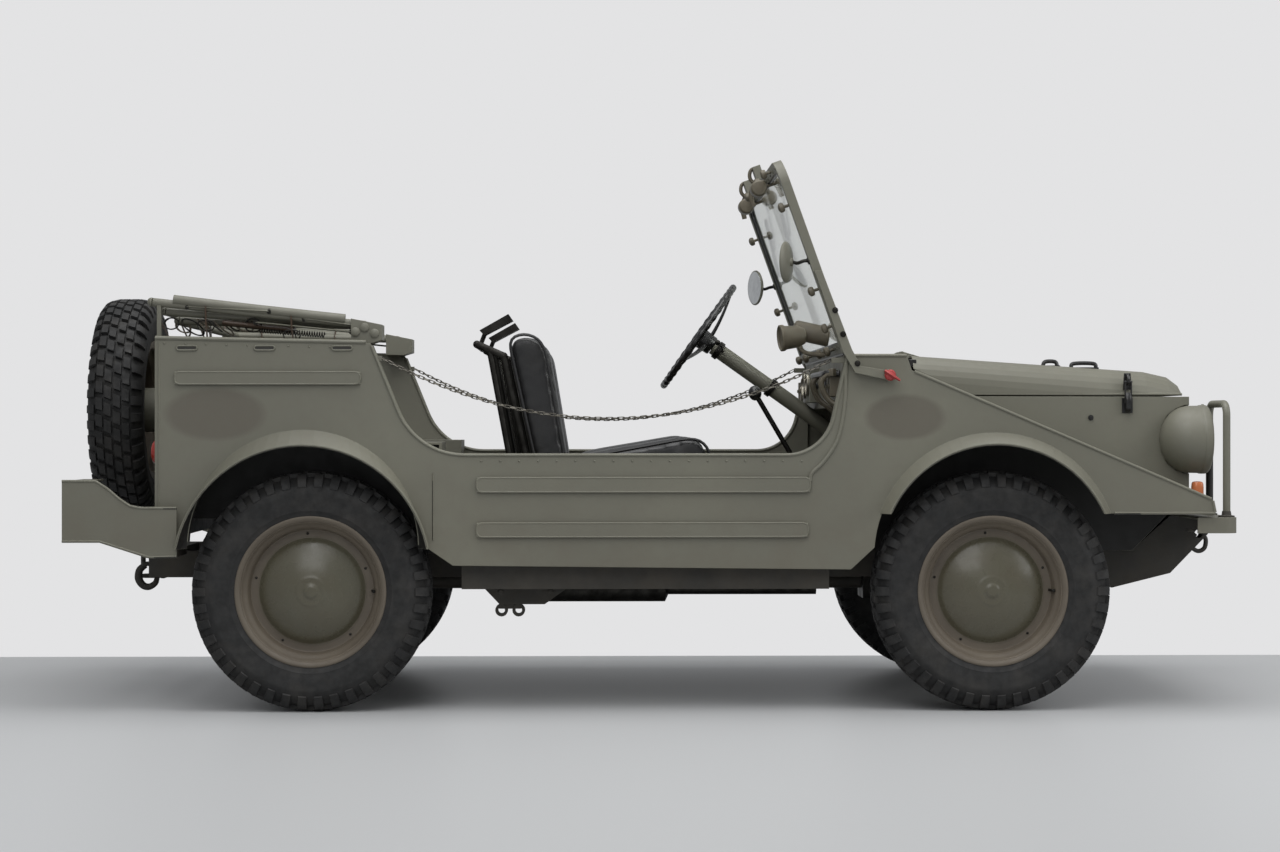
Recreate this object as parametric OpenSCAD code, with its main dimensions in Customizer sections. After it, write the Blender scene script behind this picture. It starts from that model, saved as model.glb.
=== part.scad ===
// Open four-seat cross-country car on a ladder frame, millimetres.
// +X is forward, +Y is the car's left, +Z is up. The origin is on the ground, midway along the car.
// The modules draw the right-hand side (negative Y), and both_sides() adds its mirror image.

/* [Chassis] */
// Distance between the front and rear axles
wheelbase = 2000; // [1800:10:2400]
// Distance between the tyre centres of one axle
track = 1206; // [1180:2:1260]
// Length over the front bumper and the spare wheel, less the wheelbase
overhangs = 1445; // [1400:5:1700]
// Height of a frame rail
rail_h = 80; // [60:1:100]
// Width of a frame rail
rail_w = 60; // [40:1:60]
// Steering lock each way that the wheel arches leave room for, in degrees
steer_lock = 28; // [20:1:28]

/* [Wheels] */
// Outer radius of a tyre
tyre_r = 352; // [300:1:380]
// Width of a tyre at its widest
tyre_w = 168; // [140:1:180]
// Radius of the tyre bead on the rim
bead_r = 203; // [180:1:215]
// Height of the rim flange above the bead
flange_h = 17; // [12:1:20]
// Radius of the hub cap
hub_cap_r = 158; // [120:1:165]
// Radius of a wheel spindle
spindle_r = 20; // [14:0.5:24]
// Radius of a kingpin
kingpin_r = 16; // [10:0.5:20]

/* [Body] */
// Width over the flat body sides
body_w = 1410; // [1400:2:1500]
// How far the wheel arch lips stand out of the body sides
flare = 47.5; // [30:0.5:60]
// Thickness of the tub's double side walls
wall = 35; // [25:1:45]
// Thickness of a single panel
sheet = 8; // [4:1:10]
// Height of the door sill above the frame
sill_h = 297; // [240:1:320]
// Height of the tub's rear corner above the frame
belt_h = 638; // [560:1:680]
// Height of the scuttle above the frame
cowl_h = 589; // [540:1:620]
// Radius of the door opening's rear corner
door_rear_r = 208; // [150:1:230]
// Radius of the door opening's front corner
door_front_r = 140; // [90:1:160]
// Half the width of the bonnet at the scuttle
bonnet_rear_hw = 632; // [600:1:640]
// Half the width of the bonnet at the nose
bonnet_front_hw = 520; // [500:1:540]

/* [Fittings] */
// Length of a windscreen post, from its foot to the top rail
post_len = 596; // [480:1:720]
// Lean of the windscreen, in degrees
post_lean = 19.7; // [10:0.1:25]
// Radius of the steering wheel rim's centre line
steering_r = 199; // [160:1:220]
// Radius of a headlamp
lamp_r = 103; // [80:1:110]
// Radius of a tube of the folded top
bow_r = 12; // [8:1:14]
// Radius of the tow pin hole
tow_r = 15; // [10:0.5:20]
// Width of a front seat
seat_w = 440; // [380:5:460]

/* [Hidden] */
$fn = 64;
fit = 0.05;                 // running clearance of a pin in its bore
gap = 0.3;                  // clearance between curved faces that meet
eps = 1;                    // overshoot of a cut through a face
overall_l = wheelbase + overhangs;
front_x = wheelbase / 2;
rear_x = -wheelbase / 2;
axle_z = tyre_r;
side_y = body_w / 2;
inner_y = side_y - wall;

// Frame
rail_top = axle_z + 103;
rail_bottom = rail_top - rail_h;
kingpin_y = track / 2 - 118;
hub_face_y = track / 2 - 79;
knuckle_r = 38;
// Reach of the tyre's inner shoulder towards the frame at full lock
sweep_y = kingpin_y + 34 * cos(steer_lock) - tyre_r * sin(steer_lock);
bay_y = sweep_y - 5;        // outer face of the engine bay wall
rail_y1 = bay_y - sheet - 7;
rail_y0 = rail_y1 - rail_w;
frame_rear_x = rear_x - 530;
bumper_x = overall_l / 2;
tow_eye = [bumper_x - 34, rail_top + 51];
tow_eye_r = 13;
eye_r = 28;
eye_h = 25;
upper_eye_z = axle_z + 88;
lower_eye_z = axle_z - 112;
arm_len = 120;              // steering arm
arm_z = axle_z - 52;
arm_t = 20;
leaf_t = 6;                 // one leaf of a spring, and the stack of four
leaf_stack = 4 * leaf_t;

// Body heights and stations
floor_z = rail_top;
sill_z = rail_top + sill_h;
belt_z = rail_top + belt_h;
cowl_z = rail_top + cowl_h;
sill_under_z = rail_top - 37;
tail_x = rear_x - 448;
cowl_rear_x = front_x - 438;
bonnet_rear_x = front_x - 228;
firewall_x = front_x - 350;
toe_foot = [front_x - 440, floor_z];
toe_top = [firewall_x, floor_z + 245];
seam_z = rail_top + 470;    // bonnet shut line
fender_top = [front_x - 243, rail_top + 545];
fender_tip = [front_x + 641, rail_top + 166];
fender_under_z = rail_top + 126;
fender_front_x = front_x + 649;
nose_x = front_x + 606;
rear_foot_x = rear_x + 309; // where the door's rear edge would meet the sill
rear_lean = 67.9;
front_foot_x = front_x - 495;
front_lean = 77.5;
// Wheel arches: [axle x, centre offset x, panel arc z, panel arc r, lip arc z, lip arc r]
arches = [[front_x, 2, axle_z + 105, tyre_r + 3, axle_z + 89, tyre_r - 12],
          [rear_x, -18, axle_z + 134, tyre_r - 18, axle_z + 58, tyre_r + 16]];

// Windscreen, in its own plane: foot of the post and the folding pivot
post_foot = [front_x - 435, cowl_z + 10];
post_top = post_foot + post_len * [-sin(post_lean), cos(post_lean)];
pivot = [front_x - 310, cowl_z - 59];
arm_y0 = side_y + 6;
arm_y1 = arm_y0 + 22;
pivot_r = 10;

// Steering column
column_lean = 35.4;
column_y = 350;
column_top = [front_x - 823, cowl_z + 91];
column_r = 25;
shaft_r = 12;

// Spare wheel and headlamps
spare_x = -overall_l / 2 + tyre_w / 2;
spare_z = axle_z + 536;
lamp_c = [front_x + 600, 530, axle_z + 445];
lamp_face_x = front_x + 665;

// Safety chain: route of the right-hand chain, hooked at both ends
chain_r = 5;
chain_sides = 8;
chain_y = 19 - side_y;
chain_low = [-130, 859];    // lowest point
chain_curve = 0.000403;     // height gained per square millimetre of run
chain_ends = [-788, 520];
chain_points = [for (i = [0:46]) let(x = chain_ends[0] + (chain_ends[1] - chain_ends[0]) * i / 46)
    [x, chain_low[1] + chain_curve * pow(x - chain_low[0], 2)]];

olive = "#6f7061";
dark = "#33342f";
rubber = "#2b2b2b";
leather = "#2e2b28";

// ---- helpers -------------------------------------------------------------------------------

module both_sides() {
    children();
    mirror([0, 1, 0]) children();
}

// Extrudes an X-Z outline between two distances from the centre plane, on the right-hand side
module slab(y0, y1) rotate([90, 0, 0]) translate([0, 0, y0]) linear_extrude(y1 - y0) children();

// Box from its lowest to its highest corner
module block(low, high) translate(low) cube(high - low);

// Round bar between two points
module bar(a, b, r) {
    d = b - a;
    translate(a) rotate([0, acos(d[2] / norm(d)), atan2(d[1], d[0])]) cylinder(r = r, h = norm(d));
}

// Bars with slightly larger balls at their joints, along a list of points
module bent_bar(points, r) {
    for (i = [0:len(points) - 2]) bar(points[i], points[i + 1], r);
    for (i = [1:len(points) - 2]) translate(points[i]) sphere(r + 0.6);
}

// Top line of the tub's rear corner, which falls a little towards the door
function belt_line(x) = belt_z - (x - tail_x) * 14 / 624;

// Height of the sloping front wing at a station
function wing_z(x) = fender_top[1] + (x - fender_top[0]) * (fender_tip[1] - fender_top[1])
    / (fender_tip[0] - fender_top[0]);

// ---- chassis -------------------------------------------------------------------------------

module rail_outline() polygon([
    [frame_rear_x, rail_bottom], [frame_rear_x, rail_top], [front_x + 480, rail_top],
    [front_x + 600, rail_top + 107], [bumper_x - 6, rail_top + 107], [bumper_x - 6, rail_top + 50],
    [front_x + 600, rail_top - 70], [front_x + 420, rail_top - 115], [front_x + 300, rail_bottom]]);

module frame_rails() color(dark) {
    both_sides() {
        slab(rail_y0, rail_y1) difference() {
            rail_outline();
            translate(tow_eye) circle(tow_eye_r);
        }
        // Sill member and its outriggers
        slab(inner_y - 60, inner_y - 20) polygon([
            [rear_x + 440, rail_bottom - 17], [rear_x + 440, rail_top],
            [front_x - 480, rail_top], [front_x - 480, rail_bottom - 17]]);
        for (x = [rear_x + 470, 0, front_x - 530])
            block([x - 20, -inner_y + 50, rail_bottom], [x + 20, -rail_y1 + eps, rail_top]);
    }
    for (x = [frame_rear_x + 30, rear_x + 400, 0, front_x + 320])
        block([x - 30, -rail_y0 - eps, rail_bottom], [x + 30, rail_y0 + eps, rail_top]);
    block([front_x - 160, -rail_y0 - eps, rail_bottom], [front_x - 100, rail_y0 + eps, axle_z + 48]);
    block([front_x + 540, -rail_y0 - eps, rail_top + 20], [front_x + 570, rail_y0 + eps, rail_top + 107]);
}

module skid_plate() color(dark) slab(-rail_y0, rail_y0) polygon([
    [front_x + 420, rail_top - 115], [front_x + 600, rail_top - 70], [bumper_x - 30, rail_top + 30],
    [bumper_x - 34, rail_top + 36], [front_x + 598, rail_top - 63], [front_x + 420, rail_top - 108]]);

module engine_block() color(dark) {
    union() {
        block([front_x + 150, -150, rail_top], [front_x + 500, 150, rail_top + 400]);
        block([front_x - 320, -110, axle_z + 48], [front_x + 160, 110, axle_z + 230]);
        block([front_x - 70, -120, axle_z - 60], [front_x + 70, 120, axle_z + 60]);
        block([front_x - 320, -80, axle_z - 60], [front_x - 180, 80, axle_z + 60]);
    }
    // Radiator core behind the grille
    block([front_x + 530, -260, rail_top + 107], [front_x + 575, 260, rail_top + 440]);
}

// Leaf spring, lower arm and the two eyes of one corner
module corner(x) {
    bore = kingpin_r + fit;
    for (z = [upper_eye_z, lower_eye_z]) translate([x, -kingpin_y, z]) difference() {
        cylinder(r = eye_r, h = eye_h);
        translate([0, 0, -eps]) cylinder(r = bore, h = eye_h + 2 * eps);
    }
    for (i = [0:3])
        block([x - 30, -kingpin_y + eye_r - 3 + 60 * i, rail_top + leaf_t * i],
              [x + 30, -rail_y0 + 50, rail_top + leaf_t * (i + 1)]);
    block([x - 30, -kingpin_y + eye_r - 3, upper_eye_z + eye_h - 10],
          [x + 30, -kingpin_y + eye_r + 12, rail_top + 3]);
    translate([0, 0, lower_eye_z]) linear_extrude(18) polygon([
        [x - 60, -rail_y0], [x + 60, -rail_y0], [x + 22, -kingpin_y + eye_r - 5],
        [x - 22, -kingpin_y + eye_r - 5]]);
    for (s = [-1, 1])
        block([x + s * 46 - 8, -rail_y1, lower_eye_z + 10], [x + s * 46 + 8, -rail_y0, rail_bottom]);
}

module front_suspension() color(dark) both_sides() corner(front_x);

module rear_suspension() color(dark) both_sides() {
    corner(rear_x);
    translate([rear_x, -kingpin_y, lower_eye_z]) cylinder(r = knuckle_r, h = upper_eye_z + eye_h - lower_eye_z);
    spindle(rear_x);
}

// Spindle that carries a wheel, growing out of its knuckle
module spindle(x) {
    bar([x, -kingpin_y, axle_z], [x, -track / 2 + 12, axle_z], spindle_r);
    bar([x, -kingpin_y, axle_z], [x, -hub_face_y + 4, axle_z], 50);
}

module drive_shafts() color(dark) {
    shaft_y = kingpin_y - knuckle_r - gap;
    both_sides() {
        for (x = [front_x, rear_x]) {
            bar([x, -120, axle_z], [x, -shaft_y, axle_z], 14);
            bar([x, -shaft_y + 60, axle_z], [x, -shaft_y, axle_z], 34);
        }
    }
    // Final drive, its carrier to the rear cross-member, and the propeller shaft
    bar([rear_x, 120, axle_z], [rear_x, -120, axle_z], 90);
    block([rear_x - 20, -rail_y0, axle_z + 60], [rear_x + 20, rail_y0, rail_top - 20]);
    bar([rear_x, 0, axle_z - 7], [front_x - 320, 0, axle_z - 7], 25);
}

module exhaust() color(dark) {
    y = rail_y0 - 70;
    z = rail_bottom - 42;
    // Pipe, silencer and tail pipe, turned as one outline
    pipe = 20;
    can = 42;
    translate([0, -y, z]) rotate([0, 90, 0]) rotate_extrude() polygon([
        [0, rear_x + 560], [pipe, rear_x + 560], [pipe, -360], [can, -350], [can, 50], [pipe, 60],
        [pipe, front_x - 480], [0, front_x - 480]]);
    for (x = [rear_x + 580, front_x - 500])
        block([x - 5, -rail_y0, z + 12], [x + 5, -y + 10, rail_bottom + 20]);
}

// ---- body ----------------------------------------------------------------------------------

// Round-cornered door opening, as an X-Z area that runs out of the top
module door_opening() {
    high = 2000;
    rear_t = door_rear_r * tan(rear_lean / 2);
    front_t = door_front_r * tan(front_lean / 2);
    rear_c = [rear_foot_x + rear_t, sill_z + door_rear_r];
    front_c = [front_foot_x - front_t, sill_z + door_front_r];
    polygon([
        [rear_foot_x - (high - sill_z) / tan(rear_lean), high],
        [rear_foot_x - rear_t * cos(rear_lean), sill_z + rear_t * sin(rear_lean)],
        rear_c, [rear_c[0], sill_z], [front_c[0], sill_z], front_c,
        [front_foot_x + front_t * cos(front_lean), sill_z + front_t * sin(front_lean)],
        [front_foot_x + (high - sill_z) / tan(front_lean), high]]);
    // The corners stand a hair proud of the straight edges, so that they cross them cleanly
    translate(rear_c) circle(door_rear_r + fit);
    translate(front_c) circle(door_front_r + fit);
}

module side_outline() {
    belt_end = [rear_foot_x - 133, belt_line(rear_foot_x - 133)];
    difference() {
        polygon([
            [tail_x, axle_z + 148], [tail_x, belt_z], belt_end, [belt_end[0] + 200, belt_end[1] - 20],
            [cowl_rear_x - 100, cowl_z], [bonnet_rear_x - 30, cowl_z], fender_top, fender_tip,
            [fender_front_x, fender_under_z], [front_x + 300, fender_under_z],
            [front_x - 300, fender_under_z], [front_x - 351, axle_z + 131],
            [front_x - 421, sill_under_z], [rear_x + 417, sill_under_z + 12],
            [rear_x + 330, axle_z + 138], [rear_x - 330, axle_z + 148]]);
        door_opening();
        for (a = arches) translate([a[0] + a[1], a[2]]) circle(a[3]);
    }
}

// Sloping lip between the arc in the body side and the wider arc at the lip
module arch_flare(a) {
    cut_z = a[0] > 0 ? fender_under_z : axle_z + 128;
    thick = 6;
    intersection() {
        difference() {
            hull() {
                translate([a[0] + a[1], 0, a[2]]) slab(side_y - eps, side_y) circle(a[3] + thick);
                translate([a[0] + a[1], 0, a[4]])
                    slab(side_y + flare - 0.5, side_y + flare) circle(a[5] + thick);
            }
            hull() {
                translate([a[0] + a[1], 0, a[2]]) slab(side_y - 3, side_y - 2) circle(a[3] + eps);
                translate([a[0] + a[1], 0, a[4]])
                    slab(side_y + flare, side_y + flare + eps) circle(a[5]);
            }
        }
        slab(side_y - eps, side_y + flare) translate([a[0] - 600, cut_z]) square([1200, 600]);
    }
}

module side_panel() {
    slab(inner_y, side_y) intersection() {
        side_outline();
        translate([tail_x - eps, 0]) square([front_x - 430 - tail_x, 2000]);
    }
    slab(side_y - sheet - 4, side_y) intersection() {
        side_outline();
        translate([front_x - 450, 0]) square([1200, 2000]);
    }
    // Wing top, engine bay wall and the wing's front edge
    slab(bay_y - sheet, side_y) intersection() {
        polygon([fender_top, fender_tip, fender_tip - [0, sheet], fender_top - [0, sheet]]);
        translate([firewall_x + gap, 0]) square([1200, 2000]);
    }
    slab(bay_y - sheet, bay_y) polygon([
        [firewall_x + gap, rail_top], [firewall_x + gap, cowl_z - sheet],
        [fender_top[0] - 10, cowl_z - sheet], fender_top, fender_tip, [fender_tip[0], rail_top + 113],
        [front_x + 590, rail_top + 113], [front_x + 480, rail_top], [front_x + 36, rail_top],
        [front_x + 36, rail_top + leaf_stack + gap], [front_x - 36, rail_top + leaf_stack + gap],
        [front_x - 36, rail_top]]);
    slab(bay_y, side_y) polygon([
        fender_tip - [sheet, 0], fender_tip, [fender_front_x, fender_under_z],
        [fender_front_x - sheet, fender_under_z]]);
    // Raised beads along the sill and the rear corner: [low x, high x, low z, height]
    for (b = [[rear_x + 487, front_x - 541, rail_top + 190, 41],
              [rear_x + 487, front_x - 547, rail_top + 59, 40],
              [rear_x - 390, rear_x + 148, rail_top + 504, 35]])
        slab(side_y - eps, side_y + 8) translate([b[0], b[2]]) square([b[1] - b[0], b[3]]);
    for (a = arches) arch_flare(a);
    // Windscreen pivot boss and its pin
    bar([pivot[0], -side_y + 20, pivot[1]], [pivot[0], -arm_y0 + eps + gap, pivot[1]], 18);
    bar([pivot[0], -side_y + 20, pivot[1]], [pivot[0], -arm_y1 - 6, pivot[1]], pivot_r);
    // Chain hooks on the door posts
    for (e = [[chain_ends[0], -1], [chain_ends[1], 1]]) {
        z = chain_low[1] + chain_curve * pow(e[0] - chain_low[0], 2);
        x = e[0] + e[1] * (chain_r / 2 + gap);
        reach = e[1] * 46;
        block([min(x, x + reach), chain_y - 10, z - 8], [max(x, x + reach), chain_y + 10, z + 8]);
    }
}

module side_panel_right() color(olive) side_panel();
module side_panel_left() color(olive) mirror([0, 1, 0]) side_panel();

// Inner wheel box at the rear, floor, rear deck, toe board and firewall
module floor_tub() color(olive) {
    deck_z = rail_top + 105;
    box_y = kingpin_y - 5;
    box_front = rear_x + 375;
    box_rear = rear_x - 385;
    box_top = axle_z + 438;
    block([box_front, -inner_y, floor_z], [toe_foot[0], inner_y, floor_z + sheet]);
    block([rear_x + 280, -box_y, floor_z], [box_front, box_y, floor_z + sheet]);
    block([rear_x + 280, -box_y, floor_z], [rear_x + 280 + sheet, box_y, deck_z + sheet]);
    block([tail_x + 12, -box_y, deck_z], [rear_x + 280 + sheet, box_y, deck_z + sheet]);
    both_sides() {
        slab(box_y - sheet, box_y) polygon([
            [box_rear - sheet, deck_z], [box_rear - sheet, box_top], [box_front + sheet, box_top],
            [box_front + sheet, floor_z], [rear_x + 280, floor_z], [rear_x + 280, deck_z]]);
        block([box_rear - sheet, -inner_y, box_top - sheet], [box_front + sheet, -box_y + sheet, box_top]);
        block([box_front, -inner_y, floor_z], [box_front + sheet, -box_y + sheet, box_top]);
        block([box_rear - sheet, -inner_y, deck_z], [box_rear, -box_y + sheet, box_top]);
        block([tail_x + 12, -inner_y, deck_z], [box_rear, -box_y + sheet, deck_z + sheet]);
    }
    slab(-inner_y, inner_y) polygon([
        toe_foot, toe_top, [toe_top[0], cowl_z - sheet], [toe_top[0] - sheet, cowl_z - sheet],
        toe_top - [sheet, 0], toe_foot + [-sheet, sheet]]);
}

module tail_panel() color(olive)
    block([tail_x, -inner_y, axle_z + 148], [tail_x + 12, inner_y, belt_z]);

// Bonnet hinges: centre line, and the stretch of each pin between its ears
hinge = [bonnet_rear_x - 3, cowl_z + 12];
hinge_y = 340;
hinge_half = 30;

module cowl() color(olive) {
    both_sides() {
        bar([hinge[0], -hinge_y - hinge_half - 12, hinge[1]],
            [hinge[0], -hinge_y + hinge_half + 12, hinge[1]], 5);
        for (y = [hinge_y - hinge_half - 12, hinge_y + hinge_half + gap])
            slab(y, y + 12 - gap) polygon([
                [hinge[0] - 40, cowl_z - eps], [hinge[0] - 40, cowl_z + 4], [hinge[0] - 8, cowl_z + 20],
                [hinge[0] + 2, cowl_z + 20], [hinge[0] + 2, cowl_z + 5], [hinge[0] - 4, cowl_z - eps]]);
    }
    block([cowl_rear_x, -inner_y, cowl_z - sheet], [front_x - 430, inner_y, cowl_z]);
    block([front_x - 430, -side_y + sheet + 4, cowl_z - sheet],
          [bonnet_rear_x - 40, side_y - sheet - 4, cowl_z]);
    block([bonnet_rear_x - 40, -bay_y, cowl_z - sheet], [bonnet_rear_x - 6, bay_y, cowl_z]);
}

module dashboard() color(olive) {
    block([cowl_rear_x, -inner_y, cowl_z - 150], [cowl_rear_x + 10, inner_y, cowl_z - sheet]);
    block([cowl_rear_x + 10, -inner_y, cowl_z - 150], [cowl_rear_x + 50, inner_y, cowl_z - 140]);
    // Instrument housing
    block([cowl_rear_x - 30, 150, cowl_z - 130], [cowl_rear_x, 420, cowl_z - 20]);
}

// Half width of the nose at a station
function nose_hw(x) = bonnet_rear_hw + (x - bonnet_rear_x) * (bonnet_front_hw - bonnet_rear_hw)
    / (nose_x - bonnet_rear_x);

module lamp_bowl(extra) translate([lamp_c[0], -lamp_c[1], lamp_c[2]]) rotate([0, 90, 0])
    rotate_extrude() polygon([
        [0, -78 - extra], [38, -72 - extra], [72, -54 - extra], [93, -26 - extra],
        [lamp_r + extra, 0], [lamp_r + extra, lamp_face_x - lamp_c[0]],
        [0, lamp_face_x - lamp_c[0]]]);

module nose_panel() color(olive) difference() {
    union() {
        // Sides that stand on the wings
        both_sides() intersection() {
            linear_extrude(3000) polygon([
                [fender_top[0] + 10, -nose_hw(fender_top[0] + 10)], [nose_x, -bonnet_front_hw],
                [nose_x, -bonnet_front_hw + sheet],
                [fender_top[0] + 10, -nose_hw(fender_top[0] + 10) + sheet]]);
            slab(0, side_y) polygon([
                [front_x - 60, wing_z(front_x - 60)], [nose_x, wing_z(nose_x)],
                [nose_x, seam_z], [front_x - 60, seam_z]]);
        }
        // Grille panel with upright slots
        difference() {
            block([nose_x, -bonnet_front_hw, wing_z(nose_x)],
                  [nose_x + sheet, bonnet_front_hw, seam_z]);
            for (i = [-6:6])
                block([nose_x - eps, i * 50 - 12, rail_top + 200],
                      [nose_x + sheet + eps, i * 50 + 12, rail_top + 430]);
        }
        block([nose_x, -bay_y + sheet, rail_top + 113],
              [nose_x + sheet, bay_y - sheet, wing_z(nose_x) + eps]);
    }
    both_sides() lamp_bowl(gap);
}

module headlamps() color(olive) both_sides() lamp_bowl(0);

module signal_lamps() {
    lens_z = wing_z(front_x + 625);
    // Amber front indicators on the wing tips
    color("#d0763a") both_sides() slab(575, 625) polygon([
        [front_x + 600, wing_z(front_x + 600)], [front_x + 600, lens_z + 45],
        [front_x + 635, lens_z + 40], [front_x + 640, wing_z(front_x + 640)]]);
    // Red tail lamps
    color("#8a2a22") both_sides()
        bar([tail_x, -600, axle_z + 408], [tail_x - 28, -600, axle_z + 408], 38);
}

module bumper_plan(inset) {
    round_r = 40 - inset;
    x0 = front_x + 600;
    x1 = bumper_x - inset;
    y1 = side_y - 15 - inset;
    translate([x0 - inset, -y1]) square([x1 - x0 + inset - round_r, 2 * y1]);
    translate([x0, -y1 + round_r]) square([x1 - x0, 2 * (y1 - round_r)]);
    for (s = [-1, 1]) translate([x1 - round_r, s * (y1 - round_r)]) circle(round_r);
}

module front_bumper() color(olive) difference() {
    translate([0, 0, rail_top + 67]) linear_extrude(46) bumper_plan(0);
    translate([0, 0, rail_top + 60]) linear_extrude(47) bumper_plan(6);
}

// Hoop in front of each headlamp
module lamp_guards() color(olive) both_sides() {
    tube = 11;
    bend = 36;
    x = bumper_x - 24;
    foot_z = rail_top + 113;
    top_z = foot_z + 335;
    translate([x, -lamp_c[1], 0]) {
        for (s = [-1, 1]) {
            translate([0, s * 105, foot_z]) cylinder(r = tube, h = top_z - bend - foot_z);
            translate([0, s * (105 - bend), top_z - bend]) rotate([90, 0, 90])
                rotate([0, 0, s > 0 ? 0 : 90]) rotate_extrude(angle = 90) translate([bend, 0]) circle(tube);
        }
        translate([0, 105 - bend, top_z]) rotate([90, 0, 0]) cylinder(r = tube, h = 2 * (105 - bend));
    }
}

module rear_bumpers() color(olive) both_sides() {
    y1 = side_y + 30;
    x = rear_x - 711;
    // Side cheek, with the sweep up to its rear end
    slab(y1 - 5, y1) polygon([
        [x, rail_top + 48], [x, rail_top + 222], [rear_x - 614, rail_top + 222],
        [rear_x - 580, rail_top + 200], [rear_x - 545, rail_top + 170], [rear_x - 515, rail_top + 150],
        [rear_x - 485, rail_top + 144], [rear_x - 380, rail_top + 144], [rear_x - 380, rail_top + 4],
        [rear_x - 460, rail_top + 2], [rear_x - 602, rail_top + 48]]);
    block([x, -y1 + eps, rail_top + 48], [x + 6, -420, rail_top + 222]);
    block([x, -y1 + eps, rail_top + 216], [x + 60, -420, rail_top + 222]);
    block([x, -y1 + eps, rail_top + 48], [x + 60, -420, rail_top + 54]);
    // Packing blocks on the body side, and the stay to the frame
    block([tail_x + 10, -y1 + 4, axle_z + 180], [tail_x + 60, -side_y, axle_z + 240]);
    block([x + 5, -480, rail_top + 70], [tail_x, -440, rail_top + 110]);
}

module tow_hitch() color(dark) {
    x = frame_rear_x;
    jaw_x = x - 55;
    block([x - 10, -45, rail_bottom - 20], [x, 45, rail_top]);
    block([x - 30, -22, rail_bottom - 20], [x - 9, 22, rail_bottom + 30]);
    for (z = [rail_bottom - 20, rail_bottom + 18]) difference() {
        union() {
            block([jaw_x, -25, z], [x - 20, 25, z + 12]);
            translate([jaw_x, 0, z]) cylinder(r = 25, h = 12);
        }
        translate([jaw_x, 0, z - eps]) cylinder(r = tow_r, h = 12 + 2 * eps);
    }
}

module spare_carrier() color(olive) {
    bar([tail_x, 0, spare_z], [spare_x - 9.6, 0, spare_z], 70);
    bar([tail_x, 0, spare_z], [tail_x - 12, 0, spare_z], 120);
}

module top_bows() color(olive) {
    foot_x = rear_foot_x - 150;
    // Bows folded flat: [how far back, height above the belt line, inset from the side]
    for (b = [[-465, 107, 45], [-430, 80, 71], [-395, 53, 97]]) {
        y = side_y - b[2];
        back = [rear_x + b[0], belt_z + b[1]];
        bent_bar([[foot_x, -y, belt_z + 40], [back[0], -y, back[1]], [back[0], y, back[1]],
                  [foot_x, y, belt_z + 40]], bow_r);
    }
    both_sides() {
        slab(inner_y - 80, side_y - 20) polygon([
            [foot_x - 40, belt_line(foot_x - 40)], [foot_x - 40, belt_z + 58],
            [foot_x + 50, belt_z + 40], [foot_x + 50, belt_line(foot_x + 50) + 10],
            [foot_x + 20, belt_line(foot_x + 20)]]);
        slab(side_y - 54, side_y - 36) translate([tail_x, belt_z]) square([12, 100]);
    }
}

// ---- inside --------------------------------------------------------------------------------

// Places its children with +Z along the column, towards the driver
module on_column() translate([column_top[0], column_y, column_top[1]])
    rotate([0, column_lean - 90, 0]) children();

module steering_column() color(olive) {
    length = (firewall_x - sheet - column_top[0]) / cos(column_lean);
    intersection() {
        slab(-side_y, side_y) cabin_side();
        on_column() difference() {
            translate([0, 0, -length - 40]) cylinder(r = column_r, h = length - 20);
            translate([0, 0, -140]) cylinder(r = shaft_r + fit, h = 100);
        }
    }
    column_foot_z = column_top[1] - length * sin(column_lean);
    difference() {
        block([firewall_x - sheet - 8, column_y - 45, column_foot_z - 45],
              [firewall_x - sheet, column_y + 45, column_foot_z + 55]);
        on_column() translate([0, 0, -length - 60]) cylinder(r = column_r - eps, h = length);
    }
}

module steering_wheel() color(rubber) on_column() {
    rotate_extrude() translate([steering_r, 0]) circle(11);
    difference() {
        translate([0, 0, -58]) cylinder(r = 30, h = 68);
        translate([0, 0, -59]) cylinder(r = column_r + 2, h = 19);
    }
    translate([0, 0, -130]) cylinder(r = shaft_r, h = 90);
    for (a = [90, 210, 330]) rotate([0, 0, a]) bar([25, 0, -30], [steering_r, 0, 0], 8);
}

// Area behind the toe board and the firewall, and above the floor
module cabin_side() polygon([
    [-500, floor_z + sheet], toe_foot + [-sheet, sheet], toe_top - [sheet, 0],
    [firewall_x - sheet, 2000], [-500, 2000]]);

module pedals() color(dark) intersection() {
    slab(-side_y, side_y) cabin_side();
    for (y = [220, 320, 440]) pedal(y);
}

module pedal(y) {
    bar([toe_foot[0] - 20, y, floor_z + 130], [toe_foot[0] + 60, y, floor_z + 141], 8);
    block([toe_foot[0] - 32, y - 28, floor_z + 95], [toe_foot[0] - 20, y + 28, floor_z + 165]);
}

module levers() color(dark) intersection() {
    slab(-side_y, side_y) cabin_side();
    lever_pair();
}

module lever_pair() {
    knob = [front_x - 657, 0, cowl_z - 102];
    foot = [front_x - 400, 0, floor_z + 50];
    bar(foot, knob, 8);
    translate(knob) sphere(20);
    bar([front_x - 640, 60, floor_z + sheet], [front_x - 740, 60, floor_z + 230], 8);
    block([front_x - 680, 48, floor_z + sheet], [front_x - 600, 72, floor_z + sheet + 30]);
}

seat_y = 340;
seat_base_z = floor_z + 195;

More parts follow.
